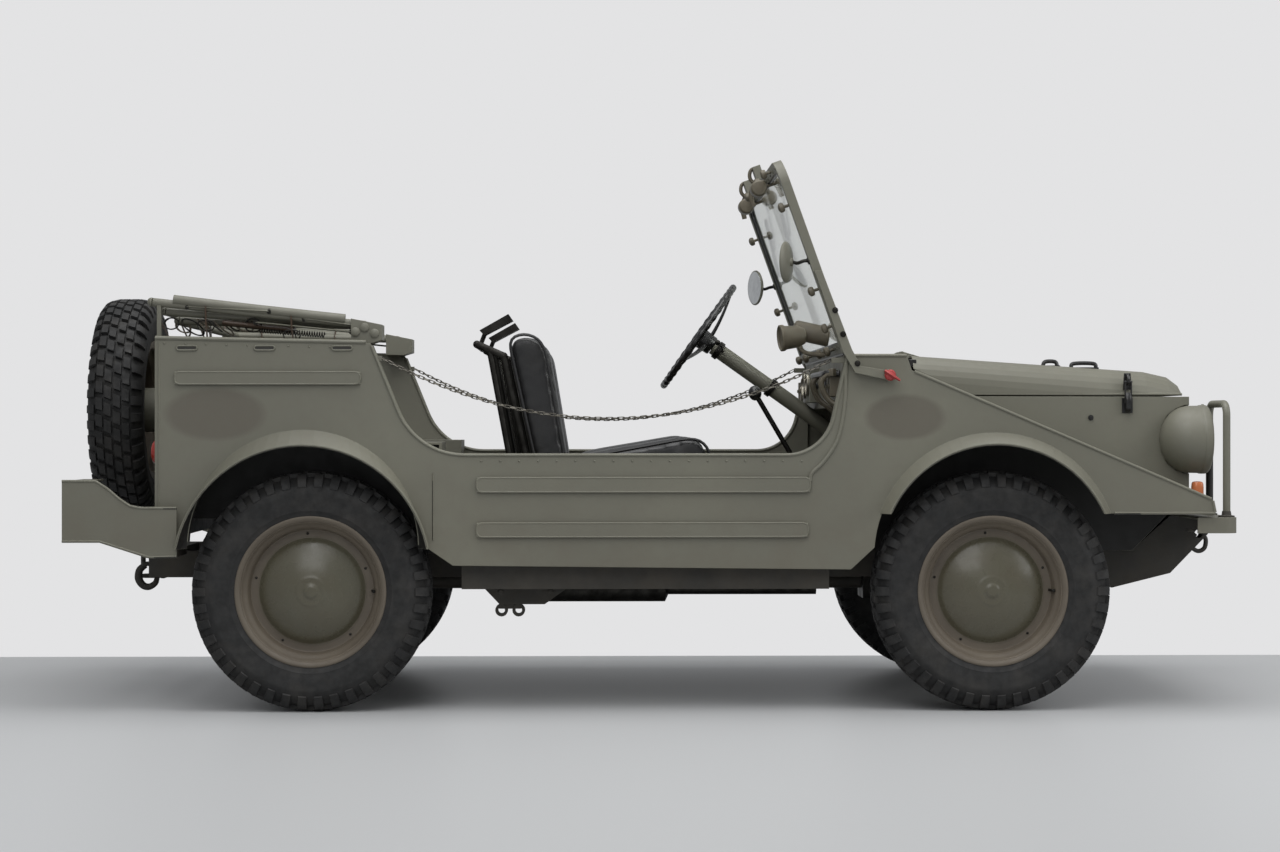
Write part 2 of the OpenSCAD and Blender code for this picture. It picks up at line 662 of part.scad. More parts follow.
module front_seat_frames() color(dark) both_sides() translate([0, -seat_y, 0]) {
    y = seat_w / 2 - 20;
    block([-420, -seat_w / 2, seat_base_z - 6], [188, seat_w / 2, seat_base_z]);
    for (s = [-1, 1], x = [-230, 150]) bar([x, s * y, floor_z + sheet], [x, s * y, seat_base_z - 3], 12);
    // Hoop behind the back cushion, with a grab rail at its top, and the braces behind it
    bent_bar([[-352, -y, seat_base_z - 3], [-440, -y, seat_base_z + 395], [-520, -y, seat_base_z + 430],
              [-520, y, seat_base_z + 430], [-440, y, seat_base_z + 395], [-352, y, seat_base_z - 3]], 11);
    for (s = [-1, 1])
        bar([-405, s * y, seat_base_z - 3], [-482, s * y, seat_base_z + 412], 9);
    // Folded clamp on top of the grab rail
    slab(-35, 35) polygon([[-505, seat_base_z + 462], [-520, seat_base_z + 478], [-432, seat_base_z + 528],
                          [-418, seat_base_z + 508]]);
    bar([-505, 0, seat_base_z + 468], [-518, 0, seat_base_z + 434], 7);
}

module front_seat_cushions() color(leather) both_sides() translate([0, -seat_y, 0])
    slab(-seat_w / 2, seat_w / 2) polygon([
        [-250, seat_base_z + gap], [-252, seat_base_z + 82], [-153, seat_base_z + 104],
        [110, seat_base_z + 152], [150, seat_base_z + 150], [180, seat_base_z + 120],
        [188, seat_base_z + gap]]);

module front_seat_backs() color(leather) both_sides() translate([0, -seat_y, 0])
    slab(-seat_w / 2, seat_w / 2) polygon([
        [-256, seat_base_z + gap], [-256, seat_base_z + 84], [-315, seat_base_z + 420],
        [-335, seat_base_z + 455], [-375, seat_base_z + 472], [-420, seat_base_z + 462],
        [-427, seat_base_z + 440], [-338, seat_base_z + 40], [-330, seat_base_z + gap]]);

bench_z = floor_z + 230;
module rear_seat_base() color(olive) slab(-450, 450) polygon([
    [rear_x + 270, floor_z + 105 + sheet], [rear_x + 270, bench_z], [rear_x - 240, bench_z],
    [rear_x - 240, bench_z - 12], [rear_x + 258, bench_z - 12], [rear_x + 258, floor_z + 105 + sheet]]);

module rear_seat_cushion() color(leather)
    block([rear_x - 160, -450, bench_z + gap], [rear_x + 270, 450, bench_z + 90]);

module rear_seat_back() color(leather) slab(-450, 450) polygon([
    [rear_x - 170, bench_z + gap], [rear_x - 240, bench_z + 340], [rear_x - 310, bench_z + 340],
    [rear_x - 240, bench_z + gap]]);

// ---- chains --------------------------------------------------------------------------------

// Tube along the chain's route, closed at both ends
module chain_tube() {
    n = len(chain_points);
    rings = [for (i = [0:n - 1]) let(
        a = chain_points[max(i - 1, 0)], b = chain_points[min(i + 1, n - 1)],
        d = (b - a) / norm(b - a), c = chain_points[i])
        for (k = [0:chain_sides - 1]) let(t = 360 * k / chain_sides)
            [c[0] - chain_r * cos(t) * d[1], chain_y + chain_r * sin(t),
             c[1] + chain_r * cos(t) * d[0]]];
    skin = [for (i = [0:n - 2], k = [0:chain_sides - 1]) let(
        p = i * chain_sides + k, q = i * chain_sides + (k + 1) % chain_sides)
        [p, q, q + chain_sides, p + chain_sides]];
    first = [for (k = [chain_sides - 1:-1:0]) k];
    last = [for (k = [0:chain_sides - 1]) (n - 1) * chain_sides + k];
    polyhedron(rings, concat([first], skin, [last]));
}

module chain_right() color("#55524c") chain_tube();
module chain_left() color("#55524c") mirror([0, 1, 0]) chain_tube();

// ---- bonnet and windscreen -----------------------------------------------------------------

// Arched cross-section of the bonnet in Y-Z: flat sides, round shoulders and a slight crown
function bonnet_section(hw, top, low, r) = concat(
    [[-hw, low], [-hw, top - r]],
    [for (a = [0:15:90]) [-hw + r - r * cos(a), top - r - 12 + r * sin(a) + 12 * a / 90]],
    [for (a = [90:-15:0]) [hw - r + r * cos(a), top - r - 12 + r * sin(a) + 12 * a / 90]],
    [[hw, top - r], [hw, low]]);

module bonnet_solid(inset) {
    low = seam_z - 120;
    // Stations: [x, half width, top, shoulder radius]
    stations = [
        [bonnet_rear_x, bonnet_rear_hw, cowl_z + 1, 60],
        [front_x + 485, nose_hw(front_x + 485), cowl_z - 44, 70],
        [front_x + 560, nose_hw(front_x + 560) - 4, cowl_z - 60, 70],
        [front_x + 592, bonnet_front_hw - 8, cowl_z - 84, 60],
        [nose_x, bonnet_front_hw - 16, cowl_z - 116, 40]];
    hull() for (s = stations) translate([s[0] - (s[0] == bonnet_rear_x ? 0 : inset), 0, 0])
        rotate([90, 0, 90]) linear_extrude(0.01)
            polygon(bonnet_section(s[1] - inset, s[2] - inset, low, s[3] - inset));
}

module bonnet() color(olive) {
    bonnet_skin();
    both_sides() difference() {
        union() {
            bar([hinge[0], -hinge_y - hinge_half, hinge[1]], [hinge[0], -hinge_y + hinge_half, hinge[1]], 9);
            slab(hinge_y - hinge_half, hinge_y + hinge_half) polygon([
                [hinge[0], hinge[1] - 9], [hinge[0] + 10, cowl_z - 3], [hinge[0] + 60, cowl_z - 3],
                [hinge[0] + 60, cowl_z + 3], [hinge[0] + 6, hinge[1] + 7]]);
        }
        bar([hinge[0], -hinge_y - hinge_half - 1, hinge[1]],
            [hinge[0], -hinge_y + hinge_half + 1, hinge[1]], 5 + fit);
    }
}

module bonnet_skin() intersection() {
    difference() {
        bonnet_solid(0);
        translate([-eps, 0, 0]) bonnet_solid(6);
    }
    slab(-side_y, side_y) polygon([
        [bonnet_rear_x, fender_top[1] + 6], [front_x - 60, seam_z + 4], [nose_x + 20, seam_z + 4],
        [nose_x + 20, 2000], [bonnet_rear_x, 2000]]);
}

// Places an X-Y outline in the windscreen's plane: its X across the car, its Y up the posts
module in_screen(t0, t1) translate([post_foot[0], 0, post_foot[1]]) rotate([0, -post_lean, 0])
    rotate([90, 0, 90]) translate([0, 0, t0]) linear_extrude(t1 - t0) children();

module screen_outline(inset) {
    w = arm_y0 - inset;
    r = 70 - inset;
    top = post_len - inset;
    low = inset;
    translate([-w, low]) square([2 * w, top - r - low]);
    translate([-w + r, low]) square([2 * (w - r), top - low]);
    for (s = [-1, 1]) translate([s * (w - r), top - r]) circle(r);
}

screen_bar = 30;

module windscreen_frame() color(olive) {
    difference() {
        in_screen(-13, 13) screen_outline(0);
        in_screen(-14, 14) screen_outline(screen_bar);
    }
    // Latches on the top rail, for the folding roof
    for (y = [-40, 440])
        in_screen(-18, 8) translate([y - 24, post_len - screen_bar / 2]) square([48, 66]);
    // Cranked arms down to the folding pivots
    both_sides() slab(arm_y0 - eps, arm_y1) difference() {
        union() {
            polygon([
                post_foot + 250 * [-sin(post_lean), cos(post_lean)] + [-11, 0],
                post_foot + 250 * [-sin(post_lean), cos(post_lean)] + [11, 0],
                post_foot + [14, 6], post_foot + [40, -42], pivot + [-4, 14], pivot + [-4, -14],
                post_foot + [24, -62], post_foot + [-12, 0]]);
            translate(pivot) circle(15);
        }
        translate(pivot) circle(pivot_r + fit);
    }
}

module windscreen_glass() color("#dfe6df", 0.4) in_screen(-3, 3) screen_outline(screen_bar + gap);

// Round mirrors on short arms, behind the posts
mirror_x = front_x - 615;
mirror_z = cowl_z + 272;
mirror_y = side_y - 5;
mirror_arm_x = post_foot[0] - (mirror_z + 5 - post_foot[1]) * tan(post_lean) - 13 / cos(post_lean) - gap;
module mirrors() color(olive) both_sides() {
    translate([mirror_x, -mirror_y, mirror_z]) rotate([0, 90, -20]) cylinder(r = 60, h = 10);
    bar([mirror_x + 5, -mirror_y, mirror_z], [mirror_arm_x, -mirror_y, mirror_z], 5);
}

// ---- steering and wheels -------------------------------------------------------------------

module knuckle() color(dark) {
    x = front_x;
    translate([x, -kingpin_y, 0]) {
        translate([0, 0, lower_eye_z - 5]) cylinder(r = kingpin_r, h = upper_eye_z - lower_eye_z + eye_h + 10);
        translate([0, 0, lower_eye_z + eye_h + gap])
            cylinder(r = knuckle_r, h = upper_eye_z - lower_eye_z - eye_h - 2 * gap);
    }
    spindle(x);
    block([x - arm_len, -kingpin_y - 12, arm_z], [x - 20, -kingpin_y + 12, arm_z + arm_t]);
    translate([x - arm_len, -kingpin_y, arm_z]) cylinder(r = 18, h = arm_t);
}

module knuckle_right() knuckle();
module knuckle_left() mirror([0, 1, 0]) knuckle();

module track_rod() color(dark) {
    x = front_x - arm_len;
    z = arm_z - gap - 22;
    bar([x, -kingpin_y, z + 11], [x, kingpin_y, z + 11], 10);
    both_sides() translate([x, -kingpin_y, z]) cylinder(r = 17, h = 22);
}

// Wheel about its own axis, with +Z outwards and the tyre's middle at zero
module wheel() color(olive) difference() {
    half = tyre_w / 2 - 17;
    top = bead_r + flange_h;
    union() {
        rotate_extrude() polygon([
            [top, -half - 6], [top, -half], [bead_r, -half], [bead_r, -45], [bead_r - 17, -38],
            [bead_r - 17, 38], [bead_r, 45], [bead_r, half], [top, half], [top, half + 6],
            [bead_r - 7, half + 6], [bead_r - 7, 50], [bead_r - 23, 43], [bead_r - 23, -43],
            [bead_r - 7, -50], [bead_r - 7, -half - 6]]);
        translate([0, 0, 6]) cylinder(r = bead_r - 20, h = 8);
        // Domed hub cap
        cap_h = 46;
        cap_r = (hub_cap_r * hub_cap_r + cap_h * cap_h) / (2 * cap_h);
        intersection() {
            translate([0, 0, 14 + cap_h - cap_r]) sphere(cap_r, $fn = 128);
            cylinder(r = hub_cap_r, h = 100);
        }
        translate([0, 0, -79]) cylinder(r = 140, h = 86);
    }
    translate([0, 0, -80]) cylinder(r = spindle_r + fit, h = 70);
}

module spare_wheel() color(olive) on_spare() difference() {
    wheel();
    // The spare has no brake drum
    translate([0, 0, -80]) cylinder(r = 141, h = 89.6);
}

module tyre() color(rubber) rotate_extrude() {
    half = tyre_w / 2;
    seat = half - 17;
    polygon([
        [bead_r + gap, -seat], [bead_r + flange_h + 2, -seat], [bead_r + 45, -half + 5],
        [bead_r + 78, -half], [tyre_r - 45, -half + 2], [tyre_r - 14, -half + 12],
        [tyre_r - 4, -half + 26], [tyre_r, -half + 50], [tyre_r, half - 50],
        [tyre_r - 4, half - 26], [tyre_r - 14, half - 12], [tyre_r - 45, half - 2],
        [bead_r + 78, half], [bead_r + 45, half - 5], [bead_r + flange_h + 2, seat],
        [bead_r + gap, seat], [bead_r + gap, seat - 15], [bead_r + 30, seat - 8],
        [bead_r + 75, half - 16], [tyre_r - 48, half - 18], [tyre_r - 20, half - 50],
        [tyre_r - 20, -half + 50], [tyre_r - 48, -half + 18], [bead_r + 75, -half + 16],
        [bead_r + 30, -seat + 8], [bead_r + gap, -seat + 15]]);
}

// Places a wheel at a corner: side is -1 for right, 1 for left
module at_corner(x, side) translate([x, side * track / 2, axle_z]) rotate([side > 0 ? -90 : 90, 0, 0])
    children();

module on_spare() translate([spare_x, 0, spare_z]) rotate([0, -90, 0]) children();

module spare_tyre() on_spare() tyre();
module wheel_front_right() at_corner(front_x, -1) wheel();
module wheel_front_left() at_corner(front_x, 1) wheel();
module wheel_rear_right() at_corner(rear_x, -1) wheel();
module wheel_rear_left() at_corner(rear_x, 1) wheel();
module tyre_front_right() at_corner(front_x, -1) tyre();
module tyre_front_left() at_corner(front_x, 1) tyre();
module tyre_rear_right() at_corner(rear_x, -1) tyre();
module tyre_rear_left() at_corner(rear_x, 1) tyre();

frame_rails();
skid_plate();
engine_block();
front_suspension();
rear_suspension();
drive_shafts();
exhaust();
floor_tub();
side_panel_right();
side_panel_left();
tail_panel();
cowl();
dashboard();
nose_panel();
headlamps();
signal_lamps();
front_bumper();
lamp_guards();
rear_bumpers();
tow_hitch();
spare_carrier();
spare_wheel();
spare_tyre();
top_bows();
steering_column();
pedals();
levers();
front_seat_frames();
front_seat_cushions();
front_seat_backs();
rear_seat_base();
rear_seat_cushion();
rear_seat_back();
chain_right();
chain_left();
bonnet();
windscreen_frame();
windscreen_glass();
mirrors();
steering_wheel();
track_rod();
knuckle_right();
knuckle_left();
wheel_front_right();
tyre_front_right();
wheel_front_left();
tyre_front_left();
wheel_rear_right();
tyre_rear_right();
wheel_rear_left();
tyre_rear_left();
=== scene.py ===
"""Surfaces, finishes and soft goods of an open army car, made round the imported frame.

Metres, +X forward, +Y the car's left, +Z up, as in the frame. Run as a script.
"""

import math

import bmesh
import bpy
import numpy as np
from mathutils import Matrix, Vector


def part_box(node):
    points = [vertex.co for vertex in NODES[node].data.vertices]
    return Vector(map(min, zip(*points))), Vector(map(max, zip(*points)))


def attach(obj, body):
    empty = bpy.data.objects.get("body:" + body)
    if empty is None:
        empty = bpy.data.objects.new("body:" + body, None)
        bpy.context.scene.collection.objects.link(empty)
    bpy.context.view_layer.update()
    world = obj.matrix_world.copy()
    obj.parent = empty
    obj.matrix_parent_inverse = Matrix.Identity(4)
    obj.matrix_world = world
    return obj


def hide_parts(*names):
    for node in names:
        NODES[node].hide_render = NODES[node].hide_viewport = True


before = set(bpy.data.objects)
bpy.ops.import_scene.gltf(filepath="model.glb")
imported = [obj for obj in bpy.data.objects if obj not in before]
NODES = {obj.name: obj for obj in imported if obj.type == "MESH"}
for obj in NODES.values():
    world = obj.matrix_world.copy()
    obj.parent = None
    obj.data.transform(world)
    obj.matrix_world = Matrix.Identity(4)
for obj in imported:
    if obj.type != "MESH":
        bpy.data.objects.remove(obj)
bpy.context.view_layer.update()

bl_info = {
    "name": "Army Car Finisher",
    "version": (1, 0, 0),
    "blender": (4, 5, 0),
    "location": "View3D > Sidebar > Army Car",
    "description": "Adds tyres, upholstery, chains, fittings and finishes to an open army car",
    "category": "Object",
}

CORNERS = ("front_right", "front_left", "rear_right", "rear_left")
SIDES = {"right": -1.0, "left": 1.0}
TAU = 2 * math.pi


def box(node):
    """Lowest and highest corner of a CAD node, as arrays."""
    low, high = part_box(node)
    return np.array(low), np.array(high)


def middle(node):
    low, high = box(node)
    return (low + high) / 2


# ---- sizes taken from the frame -------------------------------------------------------------

TYRE_LOW, TYRE_HIGH = box("tyre_front_right")
TYRE_R = (TYRE_HIGH[2] - TYRE_LOW[2]) / 2
TYRE_HALF = (TYRE_HIGH[1] - TYRE_LOW[1]) / 2
TAIL_X = box("tail_panel")[0][0]
LAMP = box("headlamps")
FLOOR_Z = box("floor_tub")[0][2]
AXLES = (1.0, -1.0)  # how far ahead of the middle each axle stands
AXLE_Z = 0.352


# ---- user settings --------------------------------------------------------------------------


def colour_prop(name, description, value):
    return bpy.props.StringProperty(name=name, description=description, default=value)


def length_prop(name, description, value, low, high):
    return bpy.props.FloatProperty(
        name=name, description=description, default=value, min=low, max=high,
        unit="LENGTH", subtype="DISTANCE", precision=4)


class CarPaints(bpy.types.PropertyGroup):
    body: colour_prop("Body", "Olive enamel of the body, as an sRGB hex value", "#66655a")
    worn: colour_prop("Worn edge", "Enamel rubbed thin on the edges", "#858474")
    patch: colour_prop("Patch", "Patches painted over old markings", "#565148")
    rim: colour_prop("Wheel rim", "Brown road dirt on the rims", "#5f574b")
    chassis: colour_prop("Chassis", "Dark paint of the frame", "#2a2926")
    rubber: colour_prop("Rubber", "Tyre rubber", "#151515")
    hide: colour_prop("Seats", "Black leathercloth", "#19191a")
    steel: colour_prop("Steel", "Blackened steel fittings", "#33322f")
    floor: colour_prop("Floor", "Studio floor", "#b4b5b6")
    wall: colour_prop("Background", "Pale background", "#e3e3e4")


class CarSizes(bpy.types.PropertyGroup):
    tread_depth: length_prop("Tread depth", "Height of the tread blocks", 0.011, 0.004, 0.016)
    lugs: bpy.props.IntProperty(name="Lugs", description="Tread blocks round a tyre",
                                default=42, min=30, max=60)
    puff: length_prop("Cushion swell", "Furthest that a pad may swell", 0.012, 0.004, 0.02)
    piping: length_prop("Piping", "Radius of the piping on the seams", 0.0045, 0.002, 0.007)
    link_wire: length_prop("Chain wire", "Thickness of a chain link's wire", 0.0032, 0.002, 0.005)
    bolt: length_prop("Bolt head", "Radius of a bolt head", 0.008, 0.004, 0.012)
    lip: length_prop("Rolled edge", "Radius of the rolled panel edges", 0.005, 0.003, 0.008)


def paints():
    return bpy.context.scene.car_paints


def sizes():
    return bpy.context.scene.car_sizes


# ---- surfaces -------------------------------------------------------------------------------


def grid_faces(nu, nv, close_u=False, close_v=False):
    """Quads of an nu by nv grid of points, row by row, closed round either way."""
    i = np.arange(nu if close_u else nu - 1)[:, None]
    j = np.arange(nv if close_v else nv - 1)[None, :]
    i2, j2 = (i + 1) % nu, (j + 1) % nv
    return np.stack([i * nv + j, i2 * nv + j, i2 * nv + j2, i * nv + j2], -1).reshape(-1, 4)


def join(parts):
    """Several (points, faces) pairs as one, with faces as a plain list."""
    points, faces, start = [], [], 0
    for p, f in parts:
        p = np.asarray(p, float)
        points.append(p)
        faces += [[v + start for v in face] for face in (f.tolist() if hasattr(f, "tolist") else f)]
        start += len(p)
    return np.concatenate(points), faces


def mirrored(part):
    return part[0] * [1, -1, 1], part[1]


def both(parts):
    """Parts of the right-hand side with their mirror images."""
    return list(parts) + [mirrored(p) for p in parts]


def frame_of(axis):
    """Two unit vectors square to an axis."""
    axis = np.asarray(axis, float) / np.linalg.norm(axis)
    help_v = np.array([0, 0, 1.0]) if abs(axis[2]) < 0.9 else np.array([1.0, 0, 0])
    u = np.cross(help_v, axis)
    u /= np.linalg.norm(u)
    return axis, u, np.cross(axis, u)


def revolve(profile, centre, axis, steps=64, ends=True):
    """Surface of revolution: each (radius, height) of the profile goes once round the axis.

    Ends on the axis close to a pole, and other ends get a flat cap when ends is true.
    """
    profile = np.asarray(profile, float)
    axis, u, v = frame_of(axis)
    t = np.linspace(0, TAU, steps, endpoint=False)
    ring = np.cos(t)[:, None] * u + np.sin(t)[:, None] * v
    points = (ring[None] * profile[:, 0, None, None] + profile[:, 1, None, None] * axis
              + np.asarray(centre, float))
    faces = grid_faces(len(profile), steps, close_v=True).tolist()
    if ends:
        faces.append(list(range(steps)))
        faces.append(list(range((len(profile) - 1) * steps, len(profile) * steps)))
    return points.reshape(-1, 3), faces


def loop_revolve(profile, centre, axis, steps=64):
    """A closed profile carried round an axis, such as a ring or a tyre."""
    points, _ = revolve(profile, centre, axis, steps, ends=False)
    return points, grid_faces(len(profile), steps, close_u=True, close_v=True)


def smooth_path(points, steps=8, closed=False):
    """Catmull-Rom curve through the points: each stretch is a cubic blend of four of them."""
    p = np.asarray(points, float)
    if closed:
        p = np.concatenate([p[-1:], p, p[:2]])
    else:
        p = np.concatenate([2 * p[:1] - p[1:2], p, 2 * p[-1:] - p[-2:-1]])
    t = np.linspace(0, 1, steps, endpoint=False)[:, None]
    out = []
    for a, b, c, d in zip(p, p[1:], p[2:], p[3:]):
        out.append(0.5 * (2 * b + (c - a) * t + (2 * a - 5 * b + 4 * c - d) * t ** 2
                          + (3 * b - a - 3 * c + d) * t ** 3))
    out = np.concatenate(out)
    return out if closed else np.concatenate([out, p[-2:-1]])


def tube(path, radius, sides=10, closed=False, squash=1.0):
    """A round or flattened section carried along a path, kept from twisting from ring to ring."""
    path = np.asarray(path, float)
    if closed:
        tangent = np.roll(path, -1, 0) - np.roll(path, 1, 0)
    else:
        tangent = np.gradient(path, axis=0)
    tangent /= np.linalg.norm(tangent, axis=1)[:, None] + 1e-12
    _, u, _ = frame_of(tangent[0])
    ups = []
    for t in tangent:
        u = u - t * (u @ t)
        u = u / np.linalg.norm(u)
        ups.append(u)
    ups = np.array(ups)
    side = np.cross(tangent, ups)
    a = np.linspace(0, TAU, sides, endpoint=False)
    r = np.broadcast_to(np.asarray(radius, float), (len(path),))[:, None, None]
    points = (path[:, None] + r * np.cos(a)[None, :, None] * ups[:, None]
              + r * squash * np.sin(a)[None, :, None] * side[:, None])
    faces = grid_faces(len(path), sides, close_u=closed, close_v=True).tolist()
    if not closed:
        faces.append(list(range(sides)))
        faces.append(list(range((len(path) - 1) * sides, len(path) * sides)))
    return points.reshape(-1, 3), faces


def rod(a, b, radius, sides=12):
    """Straight bar with its ends slightly chamfered."""
    a, b = np.asarray(a, float), np.asarray(b, float)
    d = (b - a) / np.linalg.norm(b - a)
    c = min(radius * 0.3, np.linalg.norm(b - a) / 4)
    path = np.array([a, a + d * c, b - d * c, b])
    return tube(path, [radius - c, radius, radius, radius - c], sides)


def plate(outline, thick, origin, u, v):
    """Flat outline in the plane of u and v, carried thick along their cross product.

    A narrow chamfer runs round both faces: the outer rings are drawn in towards the middle.
    """
    outline = np.asarray(outline, float)
    u, v = np.asarray(u, float), np.asarray(v, float)
    n = np.cross(u, v)
    mid = outline.mean(0)
    size = np.abs(outline - mid).max()
    c = min(0.0012, thick / 4, size / 4)
    small = mid + (outline - mid) * (1 - c / size)
    rings = [(small, 0), (outline, c), (outline, thick - c), (small, thick)]
    points = np.concatenate([np.asarray(origin, float) + o[:, :1] * u + o[:, 1:] * v + h * n
                             for o, h in rings])
    k = len(outline)
    faces = grid_faces(4, k, close_v=True).tolist()
    faces += [list(range(k)), list(range(3 * k, 4 * k))]
    return points, faces


def slab_box(low, high):
    """Box between two corners with chamfered edges, as a plate."""
    low, high = np.asarray(low, float), np.asarray(high, float)
    dx, dy, dz = high - low
    return plate([[0, 0], [dx, 0], [dx, dy], [0, dy]], dz, low, [1, 0, 0], [0, 1, 0])


def bolts(places, normal, radius, height=0.6):
    """Six-sided bolt heads on washers, one at each place, standing along the normal."""
    out = []
    for p in places:
        out.append(revolve([[radius * 1.35, 0], [radius * 1.35, radius * 0.2]], p, normal, 16))
        out.append(revolve([[radius, radius * 0.2], [radius, radius * height],
                            [radius * 0.85, radius * (height + 0.15)]], p, normal, 6))
    return out


def rivets(places, normal, radius):
    """Domed rivet heads: rings of a flattened half ball."""
    a = np.linspace(0, math.pi / 2, 4)
    dome = np.stack([radius * np.cos(a) + 1e-5, radius * 0.55 * np.sin(a)], 1)
    return [revolve(dome, p, normal, 10) for p in places]


# ---- pieces ---------------------------------------------------------------------------------


def resample(points, spacing, closed=False):
    """Points at an even spacing along a line of straight stretches."""
    p = np.asarray(points, float)
    if closed:
        p = np.concatenate([p, p[:1]])
    run = np.concatenate([[0], np.cumsum(np.linalg.norm(np.diff(p, axis=0), axis=1))])
    count = max(int(run[-1] / spacing), 3)
    at = np.linspace(0, run[-1], count + (0 if closed else 1), endpoint=not closed)
    return np.stack([np.interp(at, run, p[:, k]) for k in range(p.shape[1])], 1)


def on_side(flat, y):
    """X-Z points as points in space at one Y."""
    flat = np.asarray(flat, float)
    return np.stack([flat[:, 0], np.full(len(flat), y), flat[:, 1]], 1)


def piece(name, parts, body, material, replaces=(), sharp=35, merge=1e-5):
    """One mesh object from its parts, with its faces outwards, on its body and slot."""
    points, faces = join(parts)
    mesh = bpy.data.meshes.new(name)
    mesh.from_pydata(points.tolist(), [], faces)
    bm = bmesh.new()
    bm.from_mesh(mesh)
    bmesh.ops.remove_doubles(bm, verts=bm.verts, dist=merge)
    bmesh.ops.recalc_face_normals(bm, faces=bm.faces)
    bm.to_mesh(mesh)
    bm.free()
    mesh.shade_smooth()
    mesh.set_sharp_from_angle(angle=math.radians(sharp))
    obj = bpy.data.objects.new(name, mesh)
    bpy.context.scene.collection.objects.link(obj)
    mesh.materials.append(material)
    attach(obj, body)
    if replaces:
        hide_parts(*replaces)
    return obj


def dress(material, *nodes):
    """Puts a finish on CAD nodes that stay."""
    for name in nodes:
        mesh = NODES[name].data
        mesh.materials.clear()
        mesh.materials.append(material)
        mesh.shade_smooth()
        mesh.set_sharp_from_angle(angle=math.radians(28))


# ---- finishes -------------------------------------------------------------------------------


def linear(hex_value, alpha=1.0):
    """sRGB hex to linear colour."""
    raw = np.array([int(hex_value[i:i + 2], 16) for i in (1, 3, 5)]) / 255
    flat = np.where(raw <= 0.04045, raw / 12.92, ((raw + 0.055) / 1.055) ** 2.4)
    return (*flat.tolist(), alpha)


def add(tree, kind, settings=(), links=()):
    """A node with its settings, by attribute or input, and what feeds its inputs."""
    node = tree.nodes.new(kind)
    for key, value in dict(settings).items():
        if isinstance(key, str) and hasattr(node, key) and key not in node.inputs:
            setattr(node, key, value)
        else:
            node.inputs[key].default_value = value
    for key, source in dict(links).items():
        tree.links.new(source, node.inputs[key])
    return node


def new_material(name, **shader):
    """A material with its Principled shader; shader sets the sockets that stay constant."""
    material = bpy.data.materials.new(name)
    material.use_nodes = True
    tree = material.node_tree
    surface = tree.nodes["Principled BSDF"]
    for key, value in shader.items():
        surface.inputs[key.replace("_", " ").title().replace("Ior", "IOR")].default_value = value
    return material, tree, surface


def place_of(tree):
    return add(tree, "ShaderNodeTexCoord").outputs["Object"]


def ramp(tree, source, low, high, to_low=0.0, to_high=1.0):
    """A value from low to high spread over another range, clamped at both ends."""
    return add(tree, "ShaderNodeMapRange", {
        "From Min": low, "From Max": high, "To Min": to_low, "To Max": to_high},
        {"Value": source}).outputs["Result"]


def blend_colour(tree, factor, a, b):
    """Mix of two colours; each is a hex value or a socket."""
    node = add(tree, "ShaderNodeMix", {"data_type": "RGBA"})
    sockets = [s for s in node.inputs if s.type == "RGBA"]
    for socket, value in zip(sockets, (a, b)):
        if isinstance(value, str):
            socket.default_value = linear(value)
        else:
            tree.links.new(value, socket)
    tree.links.new(factor, node.inputs[0])
    return [s for s in node.outputs if s.type == "RGBA"][0]


def noise(tree, place, size_mm, detail=3.0, rough=0.55):
    """Noise whose blotches are about size_mm across."""
    return add(tree, "ShaderNodeTexNoise", {
        "Scale": 1000 / size_mm, "Detail": detail, "Roughness": rough},
        {"Vector": place}).outputs[0]


def edge_mask(tree, radius):
    """1 on edges and 0 on flats: how far the rounded normal leans from the flat one."""
    round_n = add(tree, "ShaderNodeBevel", {"samples": 4, "Radius": radius})
    flat_n = add(tree, "ShaderNodeNewGeometry")
    dot = add(tree, "ShaderNodeVectorMath", {"operation": "DOT_PRODUCT"})
    tree.links.new(round_n.outputs[0], dot.inputs[0])
    tree.links.new(flat_n.outputs["Normal"], dot.inputs[1])
    return ramp(tree, dot.outputs["Value"], 0.99, 0.8), round_n.outputs[0]


def ellipse_mask(tree, place, centre, half):
    """1 inside an ellipse in X and Z on the body sides, fading over its soft edge."""
    parts = add(tree, "ShaderNodeSeparateXYZ", (), {"Vector": place})
    sums = []
    for axis, c, h in zip("XZ", centre, half):
        off = add(tree, "ShaderNodeMath", {"operation": "SUBTRACT", 1: c}, {0: parts.outputs[axis]})
        share = add(tree, "ShaderNodeMath", {"operation": "DIVIDE", 1: h}, {0: off.outputs[0]})
        sums.append(add(tree, "ShaderNodeMath", {"operation": "POWER", 1: 2.0},
                        {0: add(tree, "ShaderNodeMath", {"operation": "ABSOLUTE"},
                                {0: share.outputs[0]}).outputs[0]}).outputs[0])
    total = add(tree, "ShaderNodeMath", {"operation": "ADD"}, {0: sums[0], 1: sums[1]})
    return ramp(tree, total.outputs[0], 1.15, 0.75)


